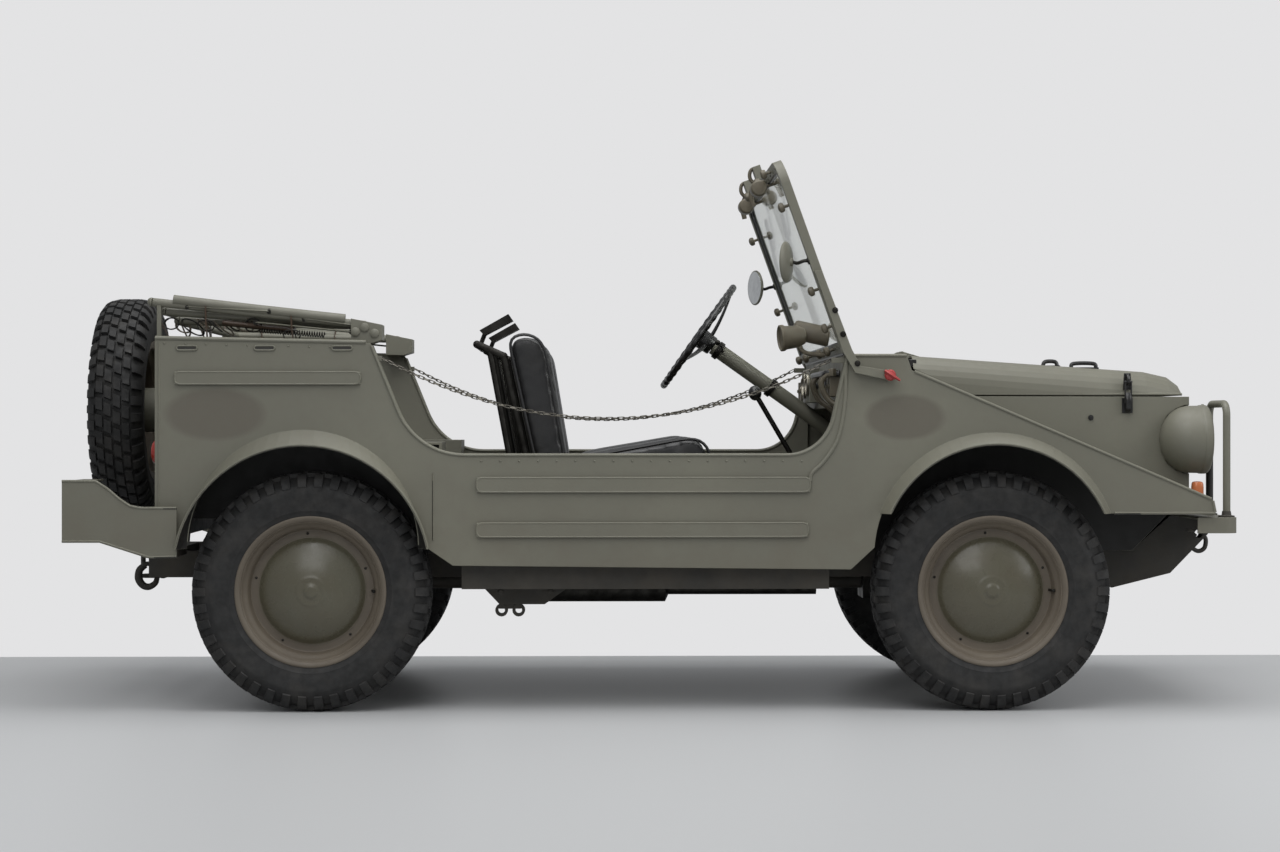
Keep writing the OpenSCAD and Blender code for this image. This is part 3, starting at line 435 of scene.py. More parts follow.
def arch_shade_mask(tree, place):
    """Mask of painted shade: 1 where a face near an axle looks towards it, or is a side wall
    between the wheels, the places in the wheel arches and under the body where shade falls.
    """
    normal = add(tree, "ShaderNodeNewGeometry").outputs["Normal"]
    at = add(tree, "ShaderNodeSeparateXYZ", (), {"Vector": place})
    lean = add(tree, "ShaderNodeSeparateXYZ", (), {"Vector": normal})

    def maths(kind, a, b):
        node = add(tree, "ShaderNodeMath", {"operation": kind})
        for socket, value in zip(node.inputs, (a, b)):
            if isinstance(value, (int, float)):
                socket.default_value = value
            else:
                tree.links.new(value, socket)
        return node.outputs[0]

    side = maths("ABSOLUTE", at.outputs["Y"], 0)
    masks = [maths("MULTIPLY", maths("MULTIPLY", maths("LESS_THAN", side, 0.5),
                                     maths("LESS_THAN", at.outputs["Z"], 0.8)),
                   maths("GREATER_THAN", maths("MULTIPLY", at.outputs["Y"], lean.outputs["Y"]),
                         0.1))]
    for axle in AXLES:
        dx = maths("SUBTRACT", axle, at.outputs["X"])
        dz = maths("SUBTRACT", AXLE_Z, at.outputs["Z"])
        near = maths("LESS_THAN", maths("ADD", maths("MULTIPLY", dx, dx),
                                        maths("MULTIPLY", dz, dz)),
                     0.235)
        towards = maths("GREATER_THAN", maths("ADD", maths("MULTIPLY", dx, lean.outputs["X"]),
                                              maths("MULTIPLY", dz, lean.outputs["Z"])), 0.04)
        masks.append(maths("MULTIPLY", near, towards))
    return maths("MAXIMUM", maths("MAXIMUM", masks[0], masks[1]), masks[2])


def enamel(name, colour, worn, patches=(), patch_colour=None, dust="#5e584c", roughness=0.5,
           painted_arch_shade=False):
    """Brushed army enamel on sheet steel: satin, unevenly faded, with brush marks too fine to feel,
    edges rubbed paler and road dust low down, and, when asked, painted shade: near-black in the
    wheel arches and under the body."""
    material, tree, surface = new_material(name, ior=1.47)
    place = place_of(tree)
    cloud = noise(tree, place, 420, 4.0)
    fine = noise(tree, place, 35, 5.0)
    shade = blend_colour(tree, ramp(tree, cloud, 0.35, 0.7), colour, worn)
    base = blend_colour(tree, add(tree, "ShaderNodeMath", {"operation": "MULTIPLY", 1: 0.22},
                                  {0: ramp(tree, cloud, 0.3, 0.75)}).outputs[0], colour, shade)
    base = blend_colour(tree, ramp(tree, fine, 0.45, 0.85, 0, 0.16), base, dust)
    for centre, half in patches:
        mask = add(tree, "ShaderNodeMath", {"operation": "MULTIPLY", 1: 0.7},
                   {0: ellipse_mask(tree, place, centre, half)}).outputs[0]
        base = blend_colour(tree, mask, base, patch_colour)
    height = add(tree, "ShaderNodeSeparateXYZ", (), {"Vector": place}).outputs["Z"]
    low = add(tree, "ShaderNodeMath", {"operation": "MULTIPLY"}, {
        0: ramp(tree, height, 0.75, 0.42, 0, 0.55),
        1: ramp(tree, noise(tree, place, 120, 4), 0.3, 0.75)})
    base = blend_colour(tree, low.outputs[0], base, dust)
    if painted_arch_shade:
        # painted shade: near-black colour where shade falls inside the wheel arches and under the
        # body
        base = blend_colour(tree, arch_shade_mask(tree, place), base, "#171614")
    edge, round_normal = edge_mask(tree, 0.003)
    rubbed = add(tree, "ShaderNodeMath", {"operation": "MULTIPLY"},
                 {0: edge, 1: ramp(tree, noise(tree, place, 90, 3), 0.35, 0.65, 0.25, 0.85)})
    base = blend_colour(tree, rubbed.outputs[0], base, worn)
    tree.links.new(base, surface.inputs["Base Color"])
    tree.links.new(ramp(tree, fine, 0.3, 0.8, roughness - 0.08, roughness + 0.12),
                   surface.inputs["Roughness"])
    bump = add(tree, "ShaderNodeBump", {"Strength": 0.12, "Distance": 0.0008},
               {"Height": noise(tree, place, 9, 2.0), "Normal": round_normal})
    tree.links.new(bump.outputs[0], surface.inputs["Normal"])
    return material


def metal(name, colour, dark, roughness=0.45, grain_mm=6, metallic=0.85):
    """Plain steel, forged or drawn: dull, darker in blotches, with fine pitting."""
    material, tree, surface = new_material(name, metallic=metallic)
    place = place_of(tree)
    blotch = noise(tree, place, 30, 4.0)
    tree.links.new(blend_colour(tree, ramp(tree, blotch, 0.35, 0.7), colour, dark),
                   surface.inputs["Base Color"])
    tree.links.new(ramp(tree, blotch, 0.3, 0.7, roughness - 0.1, roughness + 0.15),
                   surface.inputs["Roughness"])
    bump = add(tree, "ShaderNodeBump", {"Strength": 0.15, "Distance": 0.0006},
               {"Height": noise(tree, place, grain_mm, 3.0)})
    tree.links.new(bump.outputs[0], surface.inputs["Normal"])
    return material


def rubber(name, colour, dust):
    """Moulded tyre rubber: matt, grey with dry road dust in the tread and on the shoulders."""
    material, tree, surface = new_material(name, ior=1.52)
    place = place_of(tree)
    dusty = ramp(tree, noise(tree, place, 60, 5.0), 0.45, 0.8, 0.0, 0.2)
    tree.links.new(blend_colour(tree, dusty, colour, dust), surface.inputs["Base Color"])
    tree.links.new(ramp(tree, noise(tree, place, 25, 3.0), 0.3, 0.7, 0.62, 0.85),
                   surface.inputs["Roughness"])
    bump = add(tree, "ShaderNodeBump", {"Strength": 0.25, "Distance": 0.0006},
               {"Height": noise(tree, place, 5, 3.0)})
    tree.links.new(bump.outputs[0], surface.inputs["Normal"])
    return material


def leathercloth(name, colour):
    """Vinyl-coated cloth: pebbled grain about 2 mm across, drawn at 3 mm so that it shows,
    soft highlights and paler creases."""
    material, tree, surface = new_material(name, ior=1.5)
    place = place_of(tree)
    cells = add(tree, "ShaderNodeTexVoronoi", {"Scale": 1000 / 3}, {"Vector": place}).outputs[0]
    wear = ramp(tree, noise(tree, place, 90, 4.0), 0.45, 0.8, 0, 0.35)
    tree.links.new(blend_colour(tree, wear, colour, "#34322f"), surface.inputs["Base Color"])
    tree.links.new(ramp(tree, noise(tree, place, 50, 3.0), 0.3, 0.7, 0.34, 0.52),
                   surface.inputs["Roughness"])
    fine = add(tree, "ShaderNodeBump", {"Strength": 0.35, "Distance": 0.0004}, {"Height": cells})
    folds = add(tree, "ShaderNodeBump", {"Strength": 0.4, "Distance": 0.004},
                {"Height": noise(tree, place, 70, 2.0), "Normal": fine.outputs[0]})
    tree.links.new(folds.outputs[0], surface.inputs["Normal"])
    return material


def moulded(name, colour, roughness):
    """Moulded bakelite or lens plastic: smooth, faintly uneven."""
    material, tree, surface = new_material(name, ior=1.5, roughness=roughness)
    place = place_of(tree)
    tree.links.new(blend_colour(tree, ramp(tree, noise(tree, place, 40, 3.0), 0.4, 0.8, 0, 0.3),
                                colour, "#3a3733" if colour < "#5" else colour),
                   surface.inputs["Base Color"])
    bump = add(tree, "ShaderNodeBump", {"Strength": 0.05, "Distance": 0.0004},
               {"Height": noise(tree, place, 8, 2.0)})
    tree.links.new(bump.outputs[0], surface.inputs["Normal"])
    return material


def clear_glass(name):
    """Flat drawn glass: thin, nearly clear, with a faint green cast and light dust."""
    material, tree, surface = new_material(name, ior=1.45, roughness=0.03, transmission_weight=1.0)
    place = place_of(tree)
    tree.links.new(blend_colour(tree, ramp(tree, noise(tree, place, 150, 3.0), 0.4, 0.8, 0, 0.5),
                                "#f6faf5", "#e9ece2"), surface.inputs["Base Color"])
    return material


FINISH = {}


class CAR_OT_finishes(bpy.types.Operator):
    """Makes every finish and puts it on the CAD nodes that stay"""

    bl_idname = "car.finishes"
    bl_label = "Finishes"

    def execute(self, context):
        p = paints()
        patches = [((-1.273, 0.872), (0.146, 0.076)), ((0.737, 0.863), (0.117, 0.066))]
        FINISH.update(
            # the body's enamel carries painted shade in the wheel arches and under the body
            body=enamel("olive enamel on steel", p.body, p.worn, patches, p.patch, painted_arch_shade=True),
            rim=enamel("dirty enamel on rims", p.rim, "#8b8072", dust="#4c443b", roughness=0.55),
            hub=enamel("satin enamel on hub caps", "#535144", "#706d5b", dust="#4c4535",
                       roughness=0.28),
            worn=enamel("worn brown enamel on small fittings", "#565043", "#8d8672",
                        dust="#6b5b44"),
            chassis=enamel("brushed chassis black", p.chassis, "#46423a", dust="#4a443a",
                           roughness=0.65),
            tyre=rubber("tyre rubber", p.rubber, "#57524c"),
            hide=leathercloth("black leathercloth", p.hide),
            steel=metal("blackened steel", p.steel, "#1c1a18"),
            chain=metal("dull galvanised steel", "#6f6c65", "#47433c", 0.4),
            bright=metal("worn bright steel", "#a29d92", "#6d675c", 0.3),
            black=moulded("moulded black bakelite", "#161617", 0.28),
            amber=moulded("amber lens plastic", "#b3683f", 0.2),
            red=moulded("red lamp plastic", "#8f2a22", 0.2),
            scarlet=moulded("red rubber cap", "#96302f", 0.5),
            glass=clear_glass("flat screen glass"),
            mirror=metal("silvered mirror", "#d8dadb", "#c4c6c8", 0.12, metallic=1.0),
            dial=moulded("painted dial face", "#20201f", 0.5),
            brown=leathercloth("brown webbing", "#4b3c31"),
        )
        dress(FINISH["body"], "floor_tub", "side_panel_right", "side_panel_left", "tail_panel",
              "cowl", "dashboard", "nose_panel", "front_bumper", "lamp_guards", "rear_bumpers",
              "spare_carrier", "top_bows", "steering_column", "rear_seat_base", "bonnet",
              "windscreen_frame")
        dress(FINISH["chassis"], "frame_rails", "skid_plate", "front_suspension",
              "rear_suspension", "drive_shafts", "track_rod", "knuckle_right", "knuckle_left")
        dress(FINISH["steel"], "engine_block", "exhaust", "tow_hitch", "pedals", "levers",
              "front_seat_frames")
        dress(FINISH["glass"], "windscreen_glass")
        return {"FINISHED"}


# ---- cords: safety chains -------------------------------------------------------------------

# The route of the CAD chain: a parabola between the hooks, in metres
CHAIN_ENDS = (-0.788, 0.520)
CHAIN_LOW = (-0.130, 0.859)
CHAIN_CURVE = 0.403
CHAIN_Y = 0.686
CHAIN_D = 0.0115


def chain_route(side, count):
    x = np.linspace(*CHAIN_ENDS, count)
    z = CHAIN_LOW[1] + CHAIN_CURVE * (x - CHAIN_LOW[0]) ** 2
    return np.stack([x, np.full(count, side * CHAIN_Y), z], 1)


def chain_link(centre, along, up, length, wire):
    """One oval link: a round section carried round two straights and two half circles."""
    half = (CHAIN_D - wire) / 2
    t = np.linspace(0, TAU, 16, endpoint=False)
    x = half * np.cos(t) + np.sign(np.cos(t)) * (length / 2 - half)
    y = half * np.sin(t)
    across = np.cross(along, up)
    path = centre + x[:, None] * along + y[:, None] * across
    return tube(path, wire / 2, 6, closed=True)


class CAR_OT_chains(bpy.types.Operator):
    """Links the two safety chains that hang across the door openings"""

    bl_idname = "car.chains"
    bl_label = "Safety Chains"

    def execute(self, context):
        wire = sizes().link_wire
        for name, side in SIDES.items():
            route = chain_route(side, 400)
            run = np.concatenate([[0], np.cumsum(np.linalg.norm(np.diff(route, axis=0), axis=1))])
            total = run[-1]
            pitch = 0.0165
            count = int(total / pitch)
            parts = []
            for k in range(count):
                s = (k + 0.5) * total / count
                centre = np.array([np.interp(s, run, route[:, i]) for i in range(3)])
                ahead = np.array([np.interp(s + 0.004, run, route[:, i]) for i in range(3)])
                along = ahead - centre
                along /= np.linalg.norm(along)
                flat = np.array([0, 1.0, 0])
                up = flat if k % 2 else np.cross(along, flat)
                turn = 0.5 if k % 2 else 0.35
                up = up * math.cos(turn) + np.cross(along, up) * math.sin(turn)
                parts.append(chain_link(centre, along, up, pitch + 2 * wire - 0.001, wire))
            obj = piece(f"safety_chain_{name}", parts, "chassis", FINISH["chain"],
                        [f"chain_{name}"], merge=1e-7)
        return {"FINISHED"}


# ---- wheels and tyres -----------------------------------------------------------------------


def hub_places():
    """Body, centre and outward axis of each wheel and tyre, from the tyres' boxes."""
    out = {}
    for corner in CORNERS:
        side = SIDES[corner.split("_")[1]]
        out[corner] = (f"{corner}_wheel", middle(f"tyre_{corner}"), np.array([0, side, 0]))
    out["spare"] = ("chassis", middle("spare_tyre"), np.array([-1.0, 0, 0]))
    return out


def carcass_profile():
    """Half section of the tyre from bead to crown, as (radius, distance from the middle)."""
    r, h, d = TYRE_R, TYRE_HALF, sizes().tread_depth
    outer = [
        (0.2045, h - 0.0175), (0.212, h - 0.0145), (0.2215, h - 0.0125), (0.232, h - 0.0085),
        (0.238, h - 0.0048), (0.2415, h - 0.0050), (0.250, h - 0.0030), (0.268, h - 0.0008),
        (0.285, h), (0.291, h + 0.0008), (0.294, h - 0.0004), (0.305, h - 0.0022),
        (r - 0.036, h - 0.0105), (r - 0.022, h - 0.024), (r - d - 0.003, h - 0.036),
        (r - d, h - 0.048), (r - d, 0.0),
    ]
    return np.array(outer)


def tyre_carcass(centre, axis):
    """Surface of revolution of the whole section, closed on the inside by the casing."""
    half = carcass_profile()
    other = half[-2::-1] * [1, -1]
    r, h = TYRE_R, TYRE_HALF
    inside = np.array([(0.2045, -h + 0.033), (0.235, -h + 0.027), (0.285, -h + 0.018),
                       (r - 0.035, -h + 0.035), (r - 0.030, 0), (r - 0.035, h - 0.035),
                       (0.285, h - 0.018), (0.235, h - 0.027), (0.2045, h - 0.033)])
    return loop_revolve(np.concatenate([half, other, inside]), centre, axis, 144)


def tread_blocks(centre, axis):
    """Tread blocks: each is a short length of the tread surface raised on sloping sides.

    A block's outer face follows a few points of the section, at two angles round the tyre.
    """
    _, u, v = frame_of(axis)
    axis = np.asarray(axis, float)
    r, h, d = TYRE_R, TYRE_HALF, sizes().tread_depth
    count = sizes().lugs
    pitch = TAU / count
    rows = [  # points across as (radius, height), share of the pitch, offset, skew
        ([(r, 0.0035), (r, 0.014), (r, 0.0245)], 0.68, 0.0, 0.16),
        ([(r, -0.0035), (r, -0.014), (r, -0.0245)], 0.68, 0.5, -0.16),
        ([(r, 0.030), (r - 0.0015, 0.040), (r - 0.004, 0.0505)], 0.66, 0.33, 0.10),
        ([(r, -0.030), (r - 0.0015, -0.040), (r - 0.004, -0.0505)], 0.66, 0.83, -0.10),
        ([(r - 0.005, 0.056), (r - 0.010, 0.067), (r - 0.026, h - 0.0045),
          (r - 0.044, h + 0.0005)], 0.50, 0.0, 0.0),
        ([(r - 0.005, -0.056), (r - 0.010, -0.067), (r - 0.026, -h + 0.0045),
          (r - 0.044, -h - 0.0005)], 0.50, 0.5, 0.0),
    ]
    parts = []
    for section, share, offset, skew in rows:
        section = np.array(section)
        k = len(section)
        base = section.copy()
        lean = np.array([1.0, 0.0])
        base = base - d * 1.15 * lean
        if k == 4:
            base[2:] = section[2:] - [[0.012, np.sign(section[2, 1]) * 0.010]]
        a = (np.arange(count) + offset) * pitch
        across = np.linspace(-0.5, 0.5, k) * skew * pitch
        half = share * pitch / 2
        rings = []
        for sec, grow in ((base, 1.16), (section, 1.0)):
            for s in (-1, 1):
                t = a[:, None] + across[None] + s * half * grow
                ring = (np.cos(t)[..., None] * u + np.sin(t)[..., None] * v) * sec[None, :, :1]
                rings.append(ring + sec[None, :, 1:] * axis)
        points = np.stack(rings, 1) + np.asarray(centre)
        b0, b1, t0, t1 = (np.arange(k) + k * i for i in range(4))
        faces = []
        for i in range(k - 1):
            faces += [[t0[i], t1[i], t1[i + 1], t0[i + 1]], [b0[i], b0[i + 1], b1[i + 1], b1[i]],
                      [b0[i], t0[i], t0[i + 1], b0[i + 1]], [b1[i], b1[i + 1], t1[i + 1], t1[i]]]
        faces += [[b0[0], b1[0], t1[0], t0[0]], [b0[-1], t0[-1], t1[-1], b1[-1]]]
        faces = np.array(faces)
        all_faces = (faces[None] + (np.arange(count) * 4 * k)[:, None, None]).reshape(-1, 4)
        parts.append((points.reshape(-1, 3), all_faces))
    return parts


class CAR_OT_tyres(bpy.types.Operator):
    """Moulds the five cross-country tyres, with block tread and shoulder lugs"""

    bl_idname = "car.tyres"
    bl_label = "Tyres"

    def execute(self, context):
        for corner, (body, centre, axis) in hub_places().items():
            node = "spare_tyre" if corner == "spare" else f"tyre_{corner}"
            parts = [tyre_carcass(centre, axis)] + tread_blocks(centre, axis)
            piece(f"treaded_{node}", parts, body, FINISH["tyre"], [node], sharp=30,
                  merge=1e-6)
        return {"FINISHED"}


RIM = [  # outer face of the rim, from the lip in to the disc, as (radius, distance out)
    (0.2040, 0.0655), (0.2185, 0.0655), (0.2212, 0.0668), (0.2225, 0.0700), (0.2212, 0.0732),
    (0.2180, 0.0745), (0.2140, 0.0738), (0.2090, 0.0705), (0.2045, 0.0665), (0.2010, 0.0600),
    (0.1975, 0.0540), (0.1940, 0.0500), (0.1875, 0.0450), (0.1840, 0.0350), (0.1825, 0.0190),
    (0.1800, 0.0140), (0.1740, 0.0125), (0.1600, 0.0150), (0.1400, 0.0160), (0.0, 0.0160)]
RIM_BACK = [(0.0, 0.0085), (0.1700, 0.0065), (0.1790, 0.0040), (0.1800, -0.0380), (0.1960, -0.0500),
            (0.1965, -0.0660), (0.2190, -0.0720), (0.2200, -0.0665), (0.2030, -0.0660),
            (0.2030, -0.0450), (0.1860, -0.0380), (0.1860, 0.0380), (0.2030, 0.0450)]


class CAR_OT_wheels(bpy.types.Operator):
    """Presses the wheels: rim, dished disc, domed hub cap, nuts and valve"""

    bl_idname = "car.wheels"
    bl_label = "Wheels"

    def hub_cap(self, centre, axis):
        """Dome whose height falls as a circle's arc, with pressed rings and a centre boss."""
        r = np.concatenate([np.linspace(0.158, 0.150, 4), np.linspace(0.147, 0.048, 16),
                            [0.045, 0.042, 0.037, 0.030, 0.024, 0.021, 0.018, 0.012, 0.006, 1e-4]])
        dome = 0.0165 + 0.046 * (1 - (r / 0.158) ** 2.1)
        ring = 0.0016 * np.exp(-((r - 0.040) / 0.004) ** 2)
        boss = 0.0040 / (1 + np.exp((r - 0.0195) / 0.0012))
        step = -0.0022 / (1 + np.exp(-(r - 0.149) / 0.0010))
        lip = [[0.1545, 0.012], [0.1592, 0.0135], [0.1600, 0.0155]]
        cap = np.concatenate([lip, np.stack([r, dome + ring + boss + step], 1)])
        return [revolve(cap, centre, axis, 96)]

    def execute(self, context):
        for corner, (body, centre, axis) in hub_places().items():
            node = "spare_wheel" if corner == "spare" else f"wheel_{corner}"
            _, u, v = frame_of(axis)
            rim = [loop_revolve(np.array(RIM[:-1] + [(0.135, 0.016)] + [(0.135, 0.008)]
                                         + RIM_BACK[1:]), centre, axis, 96)]
            rim.append(revolve([(0.138, 0.0155), (1e-4, 0.0155)], centre, axis, 48))
            if corner != "spare":
                rim.append(revolve([(0.060, -0.078), (0.138, -0.078), (0.140, -0.070),
                                    (0.140, 0.007)], centre, axis, 64))
            piece(f"rim_{node}", rim, body, FINISH["rim"], [node], sharp=40)
            piece(f"hub_cap_{corner}", self.hub_cap(centre, axis), body, FINISH["hub"],
                  sharp=40)
            out = u * 0.176
            stem = [tube(np.array([centre + out + axis * 0.012, centre + out * 1.01 + axis * 0.030,
                                   centre + out * 1.03 + axis * 0.044]), [0.004, 0.0035, 0.003],
                                   10),
                    rod(centre + out * 1.03 + axis * 0.042, centre + out * 1.04 + axis * 0.050,
                        0.005)]
            studs = [centre + 0.169 * (np.cos(a) * u + np.sin(a) * v) + axis * 0.0135
                     for a in np.arange(5) * TAU / 5 + 0.4]
            piece(f"valve_{corner}", stem + rivets(studs, axis, 0.0042), body, FINISH["steel"])
        return {"FINISHED"}


# ---- upholstery -----------------------------------------------------------------------------

PAD_INSET = 0.008   # how far a pad starts inside its node on every side
PAD_GRAIN = 0.009   # spacing of the even mesh that the cloth simulation moves
PAD_SLACK = 0.004   # how far a finished pad may stand past its node
SEAM_DEPTH = 0.005
SEAM_WIDTH = 0.006
CLOTH_FRAMES = 20


def cad_copy(node, name):
    """A merged copy of a CAD node's mesh as a new object."""
    mesh = NODES[node].data.copy()
    mesh.name = name
    obj = bpy.data.objects.new(name, mesh)
    bpy.context.scene.collection.objects.link(obj)
    bm = bmesh.new()
    bm.from_mesh(mesh)
    bmesh.ops.remove_doubles(bm, verts=bm.verts, dist=1e-5)
    bmesh.ops.recalc_face_normals(bm, faces=bm.faces)
    bm.to_mesh(mesh)
    bm.free()
    return obj


def coords(mesh):
    out = np.zeros(len(mesh.vertices) * 3, np.float32)
    mesh.vertices.foreach_get("co", out)
    return out.reshape(-1, 3).astype(float)


def set_coords(mesh, points):
    mesh.vertices.foreach_set("co", np.asarray(points, np.float32).ravel())
    mesh.update()


def apply_all(obj):
    """Replaces an object's mesh by its evaluated one and drops its modifiers."""
    depsgraph = bpy.context.evaluated_depsgraph_get()
    mesh = bpy.data.meshes.new_from_object(obj.evaluated_get(depsgraph))
    obj.modifiers.clear()
    obj.data = mesh


def inflate(obj, cap):
    """Cloth simulation under pressure with no gravity, each point moving cap at most."""
    start = coords(obj.data)
    scene = bpy.context.scene
    cloth = obj.modifiers.new("cloth", "CLOTH")
    cloth.settings.use_pressure = True
    cloth.settings.uniform_pressure_force = 4
    cloth.settings.effector_weights.gravity = 0
    cloth.settings.quality = 4
    cloth.point_cache.frame_start, cloth.point_cache.frame_end = 1, CLOTH_FRAMES
    for number in range(1, CLOTH_FRAMES + 1):
        scene.frame_set(number)
    apply_all(obj)
    scene.frame_set(1)
    moved_by = coords(obj.data) - start
    far = np.linalg.norm(moved_by, axis=1)[:, None] + 1e-9
    set_coords(obj.data, start + moved_by * np.minimum(1, cap / far))


def upholstered(name, node, channels=()):
    """A pad in a CAD node's space: rounded by remeshing, swollen by cloth simulation, then
    given sewn channels, each a plane (point, normal) across which the cover is drawn in."""
    obj = cad_copy(node, name)
    low, high = box(node)
    points = coords(obj.data)
    side = np.sign(points[:, 1]) * node.startswith("front")
    for s in np.unique(side):
        mask = side == s
        mid = (points[mask].min(0) + points[mask].max(0)) / 2
        half = (points[mask].max(0) - points[mask].min(0)) / 2
        points[mask] = mid + (points[mask] - mid) * (1 - PAD_INSET / half)
    set_coords(obj.data, points)
    voxel = obj.modifiers.new("even", "REMESH")
    voxel.mode, voxel.voxel_size = "VOXEL", PAD_GRAIN
    relax = obj.modifiers.new("round", "SMOOTH")
    relax.factor, relax.iterations = 0.6, 10
    apply_all(obj)
    inflate(obj, sizes().puff)
    fine = obj.modifiers.new("fine", "SUBSURF")
    fine.levels = fine.render_levels = 1
    apply_all(obj)
    points = coords(obj.data)
    normals = np.zeros(len(points) * 3, np.float32)
    obj.data.vertices.foreach_get("normal", normals)
    normals = normals.reshape(-1, 3)
    for point, normal in channels:
        far = np.abs((points - np.asarray(point)) @ np.asarray(normal, float))
        points -= normals * (SEAM_DEPTH * np.exp(-(far / SEAM_WIDTH) ** 2))[:, None]
    points = np.clip(points, low - PAD_SLACK, high + PAD_SLACK)
    if node.startswith("front_seat_cushions") or node.startswith("rear_seat"):
        points[:, 2] = np.maximum(points[:, 2], low[2])
    set_coords(obj.data, points)
    obj.data.shade_smooth()
    obj.data.materials.clear()
    obj.data.materials.append(FINISH["hide"])
    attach(obj, "chassis")
    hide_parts(node)
    return obj


class CAR_OT_seats(bpy.types.Operator):
    """Upholsters the front seats and the rear bench in black leathercloth, with piping"""

    bl_idname = "car.seats"
    bl_label = "Seats"

    def piping(self, node, name):
        """Piping loops round the two long side faces of each front pad, from its own outline."""
        radius = sizes().piping
        points = coords(NODES[node].data)
        parts = []
        for s in (-1, 1):
            mine = points[points[:, 1] * s > 0]
            mid_xz = mine[:, [0, 2]].mean(0)
            outline = np.unique(np.round(mine[:, [0, 2]], 4), axis=0)
            angle = np.arctan2(*(outline - mid_xz).T[::-1])
            outline = outline[np.argsort(angle)]
            inner = mid_xz + (outline - mid_xz) * 0.955
            loop = resample(inner, 0.015, True)
            for _ in range(2):
                loop = (np.roll(loop, 1, 0) + 2 * loop + np.roll(loop, -1, 0)) / 4
            loop = on_side(loop, 0)
            for edge, inset in ((mine[:, 1].min(), 0.006), (mine[:, 1].max(), -0.006)):
                loop[:, 1] = edge + inset
                parts.append(tube(loop.copy(), radius, 8, closed=True))
        return piece(name, parts, "chassis", FINISH["hide"])

    def execute(self, context):
        bench_seams = [((0, y, 0), (0, 1, 0)) for y in (-0.15, 0.15)]
        upholstered("front_seat_cushion_pads", "front_seat_cushions")
        upholstered("front_seat_back_pads", "front_seat_backs")
        upholstered("rear_seat_cushion_pad", "rear_seat_cushion", bench_seams)
        upholstered("rear_seat_back_pad", "rear_seat_back", bench_seams)
        self.piping("front_seat_cushions", "seat_cushion_piping")
        self.piping("front_seat_backs", "seat_back_piping")
        return {"FINISHED"}


# ---- steering wheel, pedals, levers, dashboard ----------------------------------------------

COLUMN_TOP = np.array([0.177, 0.35, 1.135])
COLUMN_AXIS = np.array([-math.cos(math.radians(35.4)), 0, math.sin(math.radians(35.4))])


